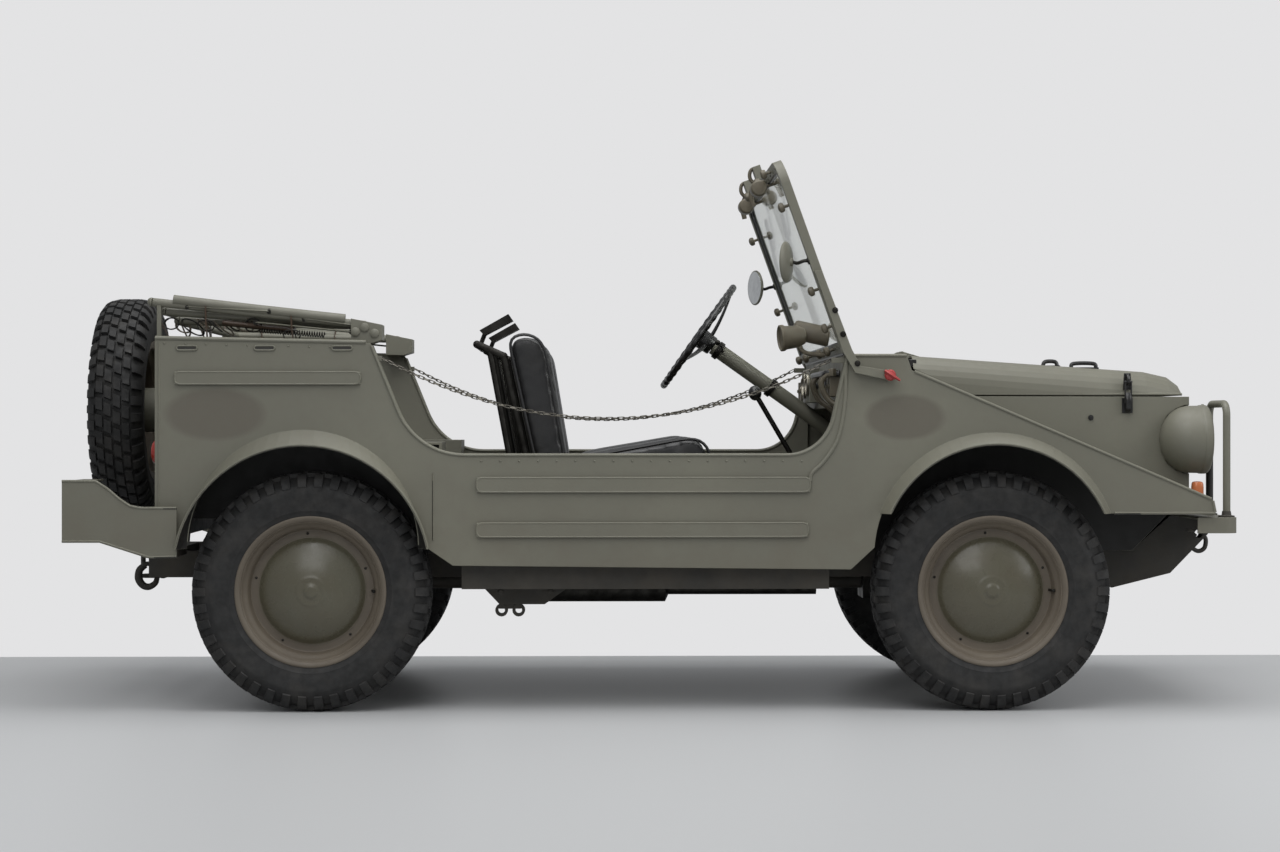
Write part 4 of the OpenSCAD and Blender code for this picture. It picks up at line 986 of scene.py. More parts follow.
class CAR_OT_controls(bpy.types.Operator):
    """Makes the steering wheel and dresses the dashboard, levers and pedals"""

    bl_idname = "car.controls"
    bl_label = "Controls"

    def steering(self):
        """Rim whose section has finger grips on its back, three flat spokes and a horn button."""
        _, u, v = frame_of(COLUMN_AXIS)
        t = np.linspace(0, TAU, 180, endpoint=False)
        grip = 0.0105 + 0.0011 * np.cos(t * 36)
        radius = 0.199
        path = COLUMN_TOP + radius * (np.cos(t)[:, None] * u + np.sin(t)[:, None] * v)
        rim = tube(path, grip, 12, closed=True)
        parts = [rim]
        for a in (math.radians(90), math.radians(210), math.radians(330)):
            way = math.cos(a) * u + math.sin(a) * v
            run = np.linspace(0, 1, 12)[:, None]
            bow = (-0.034 + 0.034 * run ** 1.6) * COLUMN_AXIS
            spoke = COLUMN_TOP + (0.024 + (radius - 0.026) * run) * way + bow
            parts.append(tube(spoke, 0.0075 + 0.004 * (1 - run[:, 0]) ** 2, 10, squash=0.6))
        hub = [(0.0285, -0.058), (0.0315, -0.054), (0.0325, -0.030), (0.034, -0.012),
               (0.033, 0.000), (0.0295, 0.006), (0.0265, 0.0065), (0.0255, 0.004),
               (0.0215, 0.0045), (0.0200, 0.009), (0.013, 0.0125), (1e-4, 0.0135)]
        parts.append(revolve(hub, COLUMN_TOP, COLUMN_AXIS, 40))
        parts.append(rod(COLUMN_TOP - 0.13 * COLUMN_AXIS, COLUMN_TOP - 0.04 * COLUMN_AXIS, 0.012))
        piece("steering_wheel_rim", parts, "steering_wheel", FINISH["black"],
              ["steering_wheel"], sharp=50)

    def column_fittings(self):
        collar = [(0.0262, -0.006), (0.031, -0.004), (0.031, 0.012), (0.0262, 0.014)]
        parts = [revolve(collar, COLUMN_TOP - d * COLUMN_AXIS, COLUMN_AXIS, 32)
                 for d in (0.085, 0.30)]
        stalk = COLUMN_TOP - 0.095 * COLUMN_AXIS
        path = smooth_path([stalk, stalk + [0, -0.06, 0.012], stalk + [-0.02, -0.13, 0.03]], 6)
        parts.append(tube(path, 0.004, 8))
        parts.append(revolve([(1e-4, -0.010), (0.008, -0.006), (0.0095, 0.002), (1e-4, 0.009)],
                             stalk + [-0.02, -0.13, 0.03], [0, -1, 0.2], 16))
        clamp = COLUMN_TOP - 0.30 * COLUMN_AXIS
        parts += bolts([clamp + [0, -0.034, 0], clamp + [0, 0.034, 0]], [0, -1, 0], 0.005)
        piece("column_fittings", parts, "chassis", FINISH["steel"])

    def dials(self):
        low, high = box("dashboard")
        face_x, z = low[0], (low[2] + high[2]) / 2 + 0.008
        bezels, faces = [], []
        for y, r in ((0.22, 0.038), (0.33, 0.046), (0.395, 0.024)):
            ring = [(r * 0.86, 0.001), (r * 0.88, 0.009), (r, 0.007), (r, 0.0)]
            bezels.append(revolve(ring, (face_x, y, z), (-1, 0, 0), 40, ends=False))
            faces.append(revolve([(r * 0.88, 0.002), (1e-4, 0.002)], (face_x, y, z), (-1, 0, 0),
                                 40))
            faces.append(revolve([(r * 0.12, 0.003), (r * 0.1, 0.006), (1e-4, 0.006)],
                                 (face_x, y, z), (-1, 0, 0), 16))
            for k in range(11):
                a = math.radians(-30 + 24 * k)
                way = np.array([0, math.cos(a), math.sin(a)])
                bezels.append(rod(np.array([face_x - 0.003, y, z]) + way * r * 0.68,
                                  np.array([face_x - 0.003, y, z]) + way * r * 0.82, 0.0012, 6))
        piece("dial_faces", faces, "chassis", FINISH["dial"])
        piece("dial_bezels", bezels, "chassis", FINISH["bright"], merge=1e-7)
        knobs = []
        for y in (0.08, 0.03, -0.02, -0.30, -0.36, -0.42):
            at = np.array([box("cowl")[0][0], y, z - 0.01])
            knobs.append(rod(at, at - [0.022, 0, 0], 0.004))
            knobs.append(revolve([(0.006, 0), (0.012, 0.004), (0.012, 0.012), (0.008, 0.016),
                                  (1e-4, 0.017)], at - [0.018, 0, 0], (-1, 0, 0), 20))
        rail = smooth_path([(0.556, -0.60, z + 0.02), (0.516, -0.58, z + 0.02),
                            (0.512, -0.45, z + 0.02), (0.512, -0.30, z + 0.02),
                            (0.516, -0.17, z + 0.02), (0.556, -0.15, z + 0.02)], 8)
        knobs.append(tube(rail, 0.009, 12))
        piece("dashboard_knobs", knobs, "chassis", FINISH["black"])

    def fittings_on_dash(self):
        """Search lamp, canister, brackets and the junction pipes seen in the door opening."""
        parts = []
        lamp = np.array([0.425, -0.46, 1.105])
        body = [(1e-4, -0.045), (0.024, -0.038), (0.033, -0.018), (0.036, 0.020), (0.040, 0.026),
                (0.040, 0.036), (0.036, 0.038), (0.034, 0.032), (1e-4, 0.028)]
        parts.append(revolve(body, lamp, (-0.97, -0.15, -0.1), 36))
        can = [(1e-4, -0.055), (0.026, -0.055), (0.030, -0.050), (0.030, 0.048), (0.026, 0.055),
               (0.012, 0.060), (1e-4, 0.060)]
        parts.append(revolve(can, lamp + [0.062, 0.02, 0.012], (-0.9, 0.1, 0.2), 32))
        parts.append(tube(smooth_path([lamp + [0.02, 0, -0.03], lamp + [0.045, 0, -0.048],
                                       lamp + [0.10, 0, -0.055]], 6), 0.007, 10))
        for y in (-0.60, -0.54, -0.32, -0.24):
            x = 0.535
            pipe = smooth_path([(x, y, 1.00), (x - 0.03, y + 0.01, 0.97),
                                (x - 0.012, y + 0.015, 0.92),
                                (x + 0.03, y, 0.885), (0.60, y - 0.004, 0.84)], 6)
            parts.append(tube(pipe, 0.0065, 8))
            parts.append(revolve([(0.011, 0), (0.012, 0.004), (0.012, 0.018), (0.009, 0.022)],
                                 (x, y, 0.985), (0, 0, 1), 6))
        for y in (-0.57, -0.50, -0.40, 0.48, 0.56):
            parts.append(slab_box((0.528, y - 0.02, 0.925), (0.561, y + 0.02, 0.985)))
            parts += bolts([(0.5275, y, 0.955)], (-1, 0, 0), 0.006)
        piece("dash_fittings", parts, "chassis", FINISH["worn"])

    def levers(self):
        parts = []
        for centre, r in ((np.array([0.343, 0, 0.942]), 0.021),
                          (np.array([0.26, 0.06, 0.685]), 0.014)):
            a = np.linspace(-0.5 * math.pi, 0.5 * math.pi, 12)
            parts.append(revolve(np.stack([r * np.cos(a) + 1e-5, r * np.sin(a) * 1.15], 1), centre,
                                 (-0.2, 0, 1), 28))
        boot = [(0.052, 0.0), (0.055, 0.006), (0.043, 0.014), (0.047, 0.022), (0.034, 0.032),
                (0.037, 0.040), (0.024, 0.052), (0.013, 0.060)]
        parts.append(revolve(boot, (0.33, 0.06, FLOOR_Z + 0.008), (-0.3, 0, 1), 32))
        piece("lever_knobs", parts, "chassis", FINISH["black"])

    def pedal_pads(self):
        parts = []
        low = box("pedals")[0]
        for y in (0.22, 0.32, 0.44):
            x = low[0] - 0.0045
            for k in range(5):
                z = low[2] + 0.008 + 0.0135 * k
                parts.append(slab_box((x, y - 0.026, z), (x + 0.006, y + 0.026, z + 0.008)))
            parts.append(slab_box((x + 0.0025, y - 0.0285, low[2] - 0.001),
                                  (x + 0.006, y + 0.0285, low[2] + 0.071)))
        piece("pedal_pads", parts, "chassis", FINISH["tyre"])

    def execute(self, context):
        self.steering()
        self.column_fittings()
        self.dials()
        self.fittings_on_dash()
        self.levers()
        self.pedal_pads()
        return {"FINISHED"}


# ---- windscreen -----------------------------------------------------------------------------

SCREEN_LEAN = math.radians(19.7)
SCREEN_FOOT = np.array([0.565, 0, 1.054])
SCREEN_UP = np.array([-math.sin(SCREEN_LEAN), 0, math.cos(SCREEN_LEAN)])
SCREEN_OUT = np.array([-math.cos(SCREEN_LEAN), 0, -math.sin(SCREEN_LEAN)])
SCREEN_LEN = 0.596
FRAME_Y = 0.711


def on_screen(y, up, out=0.0):
    """A point by its place across, up the posts, and out towards the seats."""
    return SCREEN_FOOT + [0, y, 0] + up * SCREEN_UP + out * SCREEN_OUT


class CAR_OT_windscreen(bpy.types.Operator):
    """Fits the windscreen with its rubber, centre bar, wipers, latches, knobs and mirrors"""

    bl_idname = "car.windscreen"
    bl_label = "Windscreen"

    def outline(self, inset, out):
        """Rounded rectangle in the plane of the screen: straight sides and quarter circles."""
        w, top, low, r = FRAME_Y - inset, SCREEN_LEN - inset, inset, 0.070 - inset
        a = np.linspace(0, math.pi / 2, 9)
        right = [(-w, low), (-w, top - r)]
        right += [(-w + r - r * math.cos(t), top - r + r * math.sin(t)) for t in a]
        left = [(w - r + r * math.sin(t), top - r + r * math.cos(t)) for t in a]
        left += [(w, top - r), (w, low)]
        flat = np.array(right + left)
        keep = np.concatenate([[True], np.linalg.norm(np.diff(flat, axis=0), axis=1) > 1e-6])
        return np.array([on_screen(y, z, out) for y, z in flat[keep]])

    def seals(self):
        parts = [tube(self.outline(0.0305, s * 0.006), 0.0042, 8, closed=True) for s in (-1, 1)]
        parts.append(tube(np.array([on_screen(y, -0.004) for y in np.linspace(-0.66, 0.66, 12)]),
                          0.0075, 10))
        piece("windscreen_seals", parts, "windscreen", FINISH["black"])

    def centre_bar(self):
        parts = [plate([[-0.016, 0.026], [0.016, 0.026], [0.016, SCREEN_LEN - 0.026],
                        [-0.016, SCREEN_LEN - 0.026]], 0.020, on_screen(0, 0, -0.010),
                       [0, 1, 0], SCREEN_UP)]
        for s in (-1, 1):
            for up in (0.02, 0.575):
                parts += rivets([on_screen(s * y, up, 0.0135) for y in np.arange(0.08, 0.68, 0.1)],
                                SCREEN_OUT, 0.006)
        piece("windscreen_centre_bar", parts, "windscreen", FINISH["body"])

    def knobs(self):
        """Wing knobs along the posts and the top rail, with their threaded shanks."""
        parts = []
        knob = [(0.0045, 0.0), (0.0045, 0.014), (0.0125, 0.016), (0.0145, 0.022), (0.0135, 0.029),
                (0.007, 0.033), (1e-4, 0.034)]
        for s in (-1, 1):
            for up in (0.085, 0.20, 0.46):
                parts.append(revolve(knob, on_screen(s * 0.690, up, 0.012), SCREEN_OUT, 20))
        for y in (-0.52, -0.25, 0.25, 0.52):
            parts.append(revolve(knob, on_screen(y, SCREEN_LEN - 0.015, 0.012), SCREEN_OUT, 20))
            parts.append(revolve(knob, on_screen(y, 0.018, 0.012), SCREEN_OUT, 20))
        piece("windscreen_knobs", parts, "windscreen", FINISH["worn"], sharp=50)

    def latches(self):
        parts = []
        for y in (-0.04, 0.44):
            hook = smooth_path([on_screen(y, 0.585, 0.020), on_screen(y, 0.615, 0.034),
                                on_screen(y, 0.638, 0.026), on_screen(y, 0.642, 0.010),
                                on_screen(y, 0.628, 0.002)], 6)
            parts.append(tube(hook, 0.0062, 10))
            lever = smooth_path([on_screen(y + 0.016, 0.60, 0.024),
                                 on_screen(y + 0.018, 0.57, 0.046),
                                 on_screen(y + 0.018, 0.53, 0.052)], 6)
            parts.append(tube(lever, 0.0052, 10, squash=1.6))
            parts.append(rod(on_screen(y - 0.026, 0.603, 0.022), on_screen(y + 0.028, 0.603, 0.022),
                             0.006))
        piece("roof_latches", parts, "windscreen", FINISH["worn"], sharp=50)

    def wipers(self):
        """Motor housings on the top rail, their arms and blades in front of the glass."""
        motors, arms, blades = [], [], []
        shell = [(1e-4, -0.036), (0.020, -0.034), (0.025, -0.028), (0.026, 0.020), (0.022, 0.030),
                 (0.012, 0.033), (1e-4, 0.034)]
        for y in (-0.30, 0.34):
            motors.append(revolve(shell, on_screen(y, 0.560, 0.044), [0, 1, 0], 32))
            motors.append(rod(on_screen(y, 0.560, 0.018), on_screen(y, 0.560, -0.030), 0.006))
            motors.append(revolve([(0.010, 0), (0.011, 0.004), (0.008, 0.012), (1e-4, 0.013)],
                                  on_screen(y, 0.560, -0.022), -SCREEN_OUT, 16))
            arm = smooth_path([on_screen(y, 0.560, -0.030), on_screen(y + 0.06, 0.49, -0.028),
                               on_screen(y + 0.15, 0.40, -0.020)], 6)
            arms.append(tube(arm, 0.0035, 8, squash=1.5))
            a, b = on_screen(y + 0.03, 0.50, -0.0135), on_screen(y + 0.27, 0.31, -0.0135)
            arms.append(rod(a, b, 0.0035, 8))
            blades.append(tube(np.linspace(a, b, 6) + 0.006 * SCREEN_OUT, 0.0032, 6, squash=0.5))
        piece("wiper_motors", motors, "windscreen", FINISH["worn"])
        piece("wiper_arms", arms, "windscreen", FINISH["steel"])
        piece("wiper_blades", blades, "windscreen", FINISH["tyre"])

    def pivots(self):
        """Red caps over the folding pivots, and the stops on the cranked arms."""
        caps, stops = [], []
        pivot = np.array([0.690, 0, 0.985])
        for s in (-1, 1):
            at = pivot + [0, s * 0.7335, 0]
            cap = [(0.0135, -0.002), (0.0165, 0.001), (0.0165, 0.008), (0.013, 0.013),
                   (0.006, 0.0155), (1e-4, 0.016)]
            caps.append(revolve(cap, at, [0, s, 0], 24))
            tongue = smooth_path([at + [-0.016, s * 0.006, 0.013], at + [0.002, s * 0.008, 0.001],
                                  at + [0.028, s * 0.005, -0.015]], 6)
            caps.append(tube(tongue, np.interp(np.linspace(0, 1, len(tongue)), [0, 0.5, 1],
                                               [0.012, 0.018, 0.008]), 10, squash=0.4))
            stops += bolts([SCREEN_FOOT + [-0.012, s * 0.7335, 0.05],
                            SCREEN_FOOT + [-0.035, s * 0.7335, 0.12],
                            SCREEN_FOOT + [0.03, s * 0.7335, -0.035]], [0, s, 0], 0.0065)
        piece("pivot_caps", caps, "windscreen", FINISH["scarlet"])
        piece("arm_bolts", stops, "windscreen", FINISH["steel"])

    def mirrors(self):
        """Dished round backs with a rolled rim, glass on the other face, and cranked stalks."""
        backs, glasses, stalks = [], [], []
        tilt = math.radians(20)
        for s in (-1, 1):
            at = np.array([0.390, s * 0.700, 1.316])
            look = np.array([-math.cos(tilt), -s * math.sin(tilt), 0])
            back = [(0.0575, -0.005), (0.0600, -0.003), (0.0605, 0.0), (0.0590, 0.0025),
                    (0.050, 0.008),
                    (0.030, 0.0125), (0.012, 0.014), (0.011, 0.019), (0.007, 0.021), (1e-4, 0.0212)]
            backs.append(revolve(back, at, -look, 48))
            glasses.append(revolve([(0.0565, 0.0035), (0.0560, 0.0052), (1e-4, 0.0056)], at, look,
                                   48))
            bend = smooth_path([at - look * 0.019, at - look * 0.034 + [0, 0, -0.004],
                                at - look * 0.052 + [0, s * 0.002, 0.002],
                                np.array([0.4553, s * 0.7, 1.320])], 6)
            stalks.append(tube(bend, 0.0052, 10))
            stalks.append(revolve([(0.012, 0), (0.012, 0.005), (0.006, 0.007)],
                                  (0.4575, s * 0.7, 1.320), SCREEN_OUT, 6))
        piece("mirror_backs", backs, "windscreen", FINISH["body"], ["mirrors"])
        piece("mirror_glasses", glasses, "windscreen", FINISH["mirror"])
        piece("mirror_stalks", stalks, "windscreen", FINISH["steel"])

    def execute(self, context):
        self.seals()
        self.centre_bar()
        self.knobs()
        self.latches()
        self.wipers()
        self.pivots()
        self.mirrors()
        return {"FINISHED"}


# ---- lamps ----------------------------------------------------------------------------------

LAMP_X = LAMP[1][0] - 0.065
LAMP_Z = (LAMP[0][2] + LAMP[1][2]) / 2
LAMP_Y = LAMP[1][1] - 0.103


class CAR_OT_lamps(bpy.types.Operator):
    """Makes the headlamps, the amber indicators and the red tail lamps"""

    bl_idname = "car.lamps"
    bl_label = "Lamps"

    def headlamps(self):
        """Bowl profile of (radius, reach), bright parabola inside, and a slightly domed lens."""
        bowl = [(1e-4, -0.078), (0.020, -0.0765), (0.040, -0.0710), (0.058, -0.0620),
                (0.074, -0.0500),
                (0.087, -0.0340), (0.096, -0.0160), (0.1005, 0.0040), (0.1010, 0.0380),
                (0.1025, 0.0400), (0.1030, 0.0450), (0.1030, 0.0560), (0.1020, 0.0610),
                (0.0985, 0.0640), (0.0940, 0.0640), (0.0915, 0.0610), (0.0905, 0.0540)]
        r = np.linspace(0.089, 1e-4, 14)
        dish = np.stack([r, 0.050 - 0.085 * (1 - (r / 0.089) ** 2)], 1)
        lens = np.stack([r * 1.02, 0.0560 + 0.0080 * (1 - (r / 0.089) ** 2)], 1)
        bowls, dishes, lenses = [], [], []
        for s in (-1, 1):
            at = (LAMP_X, s * LAMP_Y, LAMP_Z)
            bowls.append(revolve(bowl, at, (1, 0, 0), 72))
            bowls += bolts([(LAMP_X + 0.052, s * LAMP_Y, LAMP_Z + 0.1025)], (0, 0, 1), 0.004)
            dishes.append(revolve(dish, at, (1, 0, 0), 48))
            dishes.append(revolve([(0.011, -0.03), (0.011, 0.0), (0.007, 0.012), (1e-4, 0.014)], at,
                                  (1, 0, 0), 16))
            lenses.append(revolve(lens, at, (1, 0, 0), 48))
        piece("headlamp_bowls", bowls, "chassis", FINISH["body"], ["headlamps"])
        piece("headlamp_reflectors", dishes, "chassis", FINISH["mirror"])
        piece("headlamp_lenses", lenses, "chassis", FINISH["glass"], merge=1e-7)

    def signals(self):
        """Amber blocks with moulded ribs on the wing tips, ribbed red lenses on the tail."""
        amber, bases, red = [], [], []
        sides = 28
        for s in (-1, 1):
            x0, x1, y = 1.603, 1.637, s * 0.600
            z = 0.634
            rings = []
            a = np.linspace(0, TAU, sides, endpoint=False)
            for h, k in ((0.0, 1.0), (0.022, 1.0), (0.032, 0.94), (0.037, 0.80), (0.0385, 0.5),
                         (0.039, 1e-3)):
                rib = 1 + 0.012 * (np.arange(sides) % 2)
                c, d = np.cos(a), np.sin(a)
                across, along = np.sign(c) * np.abs(c) ** 0.6, np.sign(d) * np.abs(d) ** 0.6
                rings.append(np.stack([(x0 + x1) / 2 + 0.0165 * k * rib * across,
                                       y + 0.0225 * k * rib * along,
                                       np.full(sides, z + h)], 1))
            faces = grid_faces(len(rings), sides, close_v=True).tolist() + [list(range(sides))]
            amber.append((np.concatenate(rings), faces))
            base = [rings[0] * [1, 1, 0] + [0, 0, h] for h in (0.624, 0.635)]
            bases.append((np.concatenate(base), grid_faces(2, sides, close_v=True).tolist()
                          + [list(range(sides)), list(range(sides, 2 * sides))]))
            at = (TAIL_X, s * 0.600, 0.760)
            lens = [(0.0355, 0.005), (0.0358, 0.012), (0.033, 0.019), (0.030, 0.0195),
                    (0.0285, 0.0222),
                    (0.0245, 0.0225), (0.0230, 0.0242), (0.0180, 0.0245), (0.0165, 0.0262),
                    (0.009, 0.0268), (1e-4, 0.0272)]
            red.append(revolve(lens, at, (-1, 0, 0), 40))
            ring = [(0.038, -0.001), (0.038, 0.007), (0.0372, 0.010), (0.0362, 0.011),
                    (0.0355, 0.009)]
            bases.append(revolve(ring, at, (-1, 0, 0), 40))
        piece("indicator_lenses", amber, "chassis", FINISH["amber"], ["signal_lamps"])
        piece("tail_lamp_lenses", red, "chassis", FINISH["red"])
        piece("lamp_bases", bases, "chassis", FINISH["black"])

    def execute(self, context):
        self.headlamps()
        self.signals()
        return {"FINISHED"}


# ---- body details ---------------------------------------------------------------------------

SIDE_Y = 0.705
ARCHES = ((1.002, 0.441, 0.340), (-1.018, 0.410, 0.368))  # centre, height and radius of the lip
FLARE = 0.0475
WING_TOP, WING_TIP = np.array([0.757, 1.000]), np.array([1.641, 0.621])


def wing_height(x):
    """Height of the sloping front wing at a station."""
    return WING_TOP[1] + (x - WING_TOP[0]) * (WING_TIP - WING_TOP)[1] / (WING_TIP - WING_TOP)[0]


def arc_points(cx, cz, radius, low_z, steps=40):
    """Arc above a height, from front to rear, as X-Z points."""
    a = math.asin(min(1, (low_z - cz) / radius))
    t = np.linspace(a, math.pi - a, steps)
    return np.stack([cx + radius * np.cos(t), cz + radius * np.sin(t)], 1)


def door_edge():
    """Edge of the door opening: two leaning sides joined by arcs to the flat sill."""
    sill, rear_lean, front_lean = 0.752, math.radians(67.9), math.radians(77.5)
    rear_x, front_x = -0.691, 0.505
    rear_r, front_r = 0.208, 0.140
    rt, ft = rear_r * math.tan(rear_lean / 2), front_r * math.tan(front_lean / 2)
    rc, fc = np.array([rear_x + rt, sill + rear_r]), np.array([front_x - ft, sill + front_r])
    a = np.linspace(1.5 * math.pi - rear_lean, 1.5 * math.pi, 14)
    b = np.linspace(-math.pi / 2, -math.pi / 2 + front_lean, 14)
    rear = np.stack([rc[0] + rear_r * np.cos(a), rc[1] + rear_r * np.sin(a)], 1)
    front = np.stack([fc[0] + front_r * np.cos(b), fc[1] + front_r * np.sin(b)], 1)
    rear_top, front_top = 1.070, 1.036
    top_rear = np.array([rear_x - (rear_top - sill) / math.tan(rear_lean), rear_top])
    top_front = np.array([front_x + (front_top - sill) / math.tan(front_lean), front_top])
    return np.concatenate([[top_rear], rear, front, [top_front]])


class CAR_OT_body_edges(bpy.types.Operator):
    """Rolls the edges of the door openings, wheel arches and wings, and adds pressed beads"""

    bl_idname = "car.body_edges"
    bl_label = "Body edges"

    def arches(self):
        """Rolled lip round each arch: a tube along the outer arc, out to the wing's edge."""
        parts = []
        for cx, lip_z, lip_r in ARCHES:
            low = 0.588 if cx > 0 else 0.486
            arc = arc_points(cx, lip_z, lip_r + 0.003, low)
            parts.append(tube(on_side(arc, -(SIDE_Y + FLARE - 0.0045)), sizes().lip, 8))
        piece("arch_lips", both(parts), "chassis", FINISH["body"])

    def openings(self):
        edge = resample(door_edge(), 0.012)
        parts = [tube(on_side(edge, -(SIDE_Y - 0.001)), sizes().lip, 8),
                 tube(on_side(edge, -(SIDE_Y - 0.035)), sizes().lip, 8)]
        top = resample([(-0.836, 1.081), (-1.447, 1.093)], 0.05)
        parts.append(tube(on_side(top, -(SIDE_Y - 0.002)), 0.0065, 8))
        parts.append(tube(on_side(top, -(SIDE_Y - 0.034)), 0.0055, 8))
        post = smooth_path([(0.566, 1.020), (0.560, 0.900), (0.540, 0.800), (0.500, 0.735),
                            (0.465, 0.700), (0.459, 0.676)], 10)
        parts.append(tube(on_side(post, -(SIDE_Y + 0.0005)), 0.006, 8))
        piece("opening_beads", both(parts), "chassis", FINISH["body"])

    def wing_lines(self):
        line = np.array([(x, wing_height(x)) for x in np.linspace(0.765, 1.636, 24)])
        parts = [tube(on_side(line, -(SIDE_Y - 0.001)), 0.0048, 8)]
        end = resample([(1.641, 0.618), (1.648, 0.584)], 0.01)
        parts.append(tube(on_side(end, -(SIDE_Y - 0.001)), 0.0045, 8))
        under = resample([(1.648, 0.582), (1.352, 0.582)], 0.05)
        parts.append(tube(on_side(under, -(SIDE_Y - 0.001)), 0.0045, 8))
        scuttle = resample([(0.742, 1.043), (0.575, 1.043)], 0.04)
        parts.append(tube(on_side(scuttle, -(SIDE_Y - 0.001)), 0.005, 8))
        piece("wing_edges", both(parts), "chassis", FINISH["body"])

    def sill_beads(self):
        """Pressed beads: half-round welts round the raised fields on the sides."""
        parts = []
        for x0, x1, z, h in ((-0.513, 0.459, 0.645, 0.041), (-0.513, 0.453, 0.514, 0.040),
                             (-1.390, -0.852, 0.959, 0.035)):
            r = 0.012
            a = np.linspace(0, TAU, 32, endpoint=False)
            cx = np.where(np.cos(a) > 0, x1 - r, x0 + r) + r * np.cos(a)
            cz = np.where(np.sin(a) > 0, z + h - r, z + r) + r * np.sin(a)
            loop = resample(np.stack([cx, cz], 1), 0.012, True)
            parts.append(tube(on_side(loop, -(SIDE_Y + 0.006)), 0.0032, 8, closed=True))
        piece("side_welts", both(parts), "chassis", FINISH["body"])

    def rear_slots(self):
        """Three slots below the rear corner's top edge, each in a raised surround, with a thin dark
        plate on the panel as painted shade inside each slot.
        """
        rims, darks = [], []
        slot_z = 1.064
        for x in (-1.355, -1.130, -0.905):
            a = np.linspace(0, TAU, 24, endpoint=False)
            w, h = 0.030, 0.0065
            loop = np.stack([x + np.sign(np.cos(a)) * (w - h) + h * np.cos(a),
                             slot_z + h * np.sin(a)], 1)
            rims.append(tube(on_side(resample(loop, 0.006, True), -(SIDE_Y + 0.0015)), 0.0028, 8,
                             closed=True))
            # painted shade: a thin dark plate on the panel stands in for the shade inside each slot
            darks.append(plate(loop - [x, slot_z], 0.001, (x, -(SIDE_Y + 0.0012), slot_z),
                               [1, 0, 0], [0, 0, 1]))
        piece("strap_slots", both(rims), "chassis", FINISH["body"])
        piece("strap_slot_shade_plates", both(darks), "chassis", FINISH["chassis"])

    def seams(self):
        """Overlap seams of the panels and their spot-weld rows."""
        parts = []
        for x, z0, z1 in ((-0.640, 0.505, 0.700), (-1.436, 0.505, 1.085)):
            parts.append(tube(on_side(resample([(x, z0), (x, z1)], 0.03), -SIDE_Y), 0.0028, 6))
        welds = [(x, -SIDE_Y, 0.735) for x in np.arange(-0.50, 0.46, 0.055)]
        welds += [(x, -SIDE_Y, 1.078 - (x + 1.448) * 0.0224) for x in np.arange(-1.42, -0.86, 0.06)]
        parts += rivets(welds, (0, -1, 0), 0.0035)
        piece("panel_seams", both(parts), "chassis", FINISH["body"])

    def execute(self, context):
        self.arches()
        self.openings()
        self.wing_lines()
        self.sill_beads()
        self.rear_slots()
        self.seams()
        return {"FINISHED"}


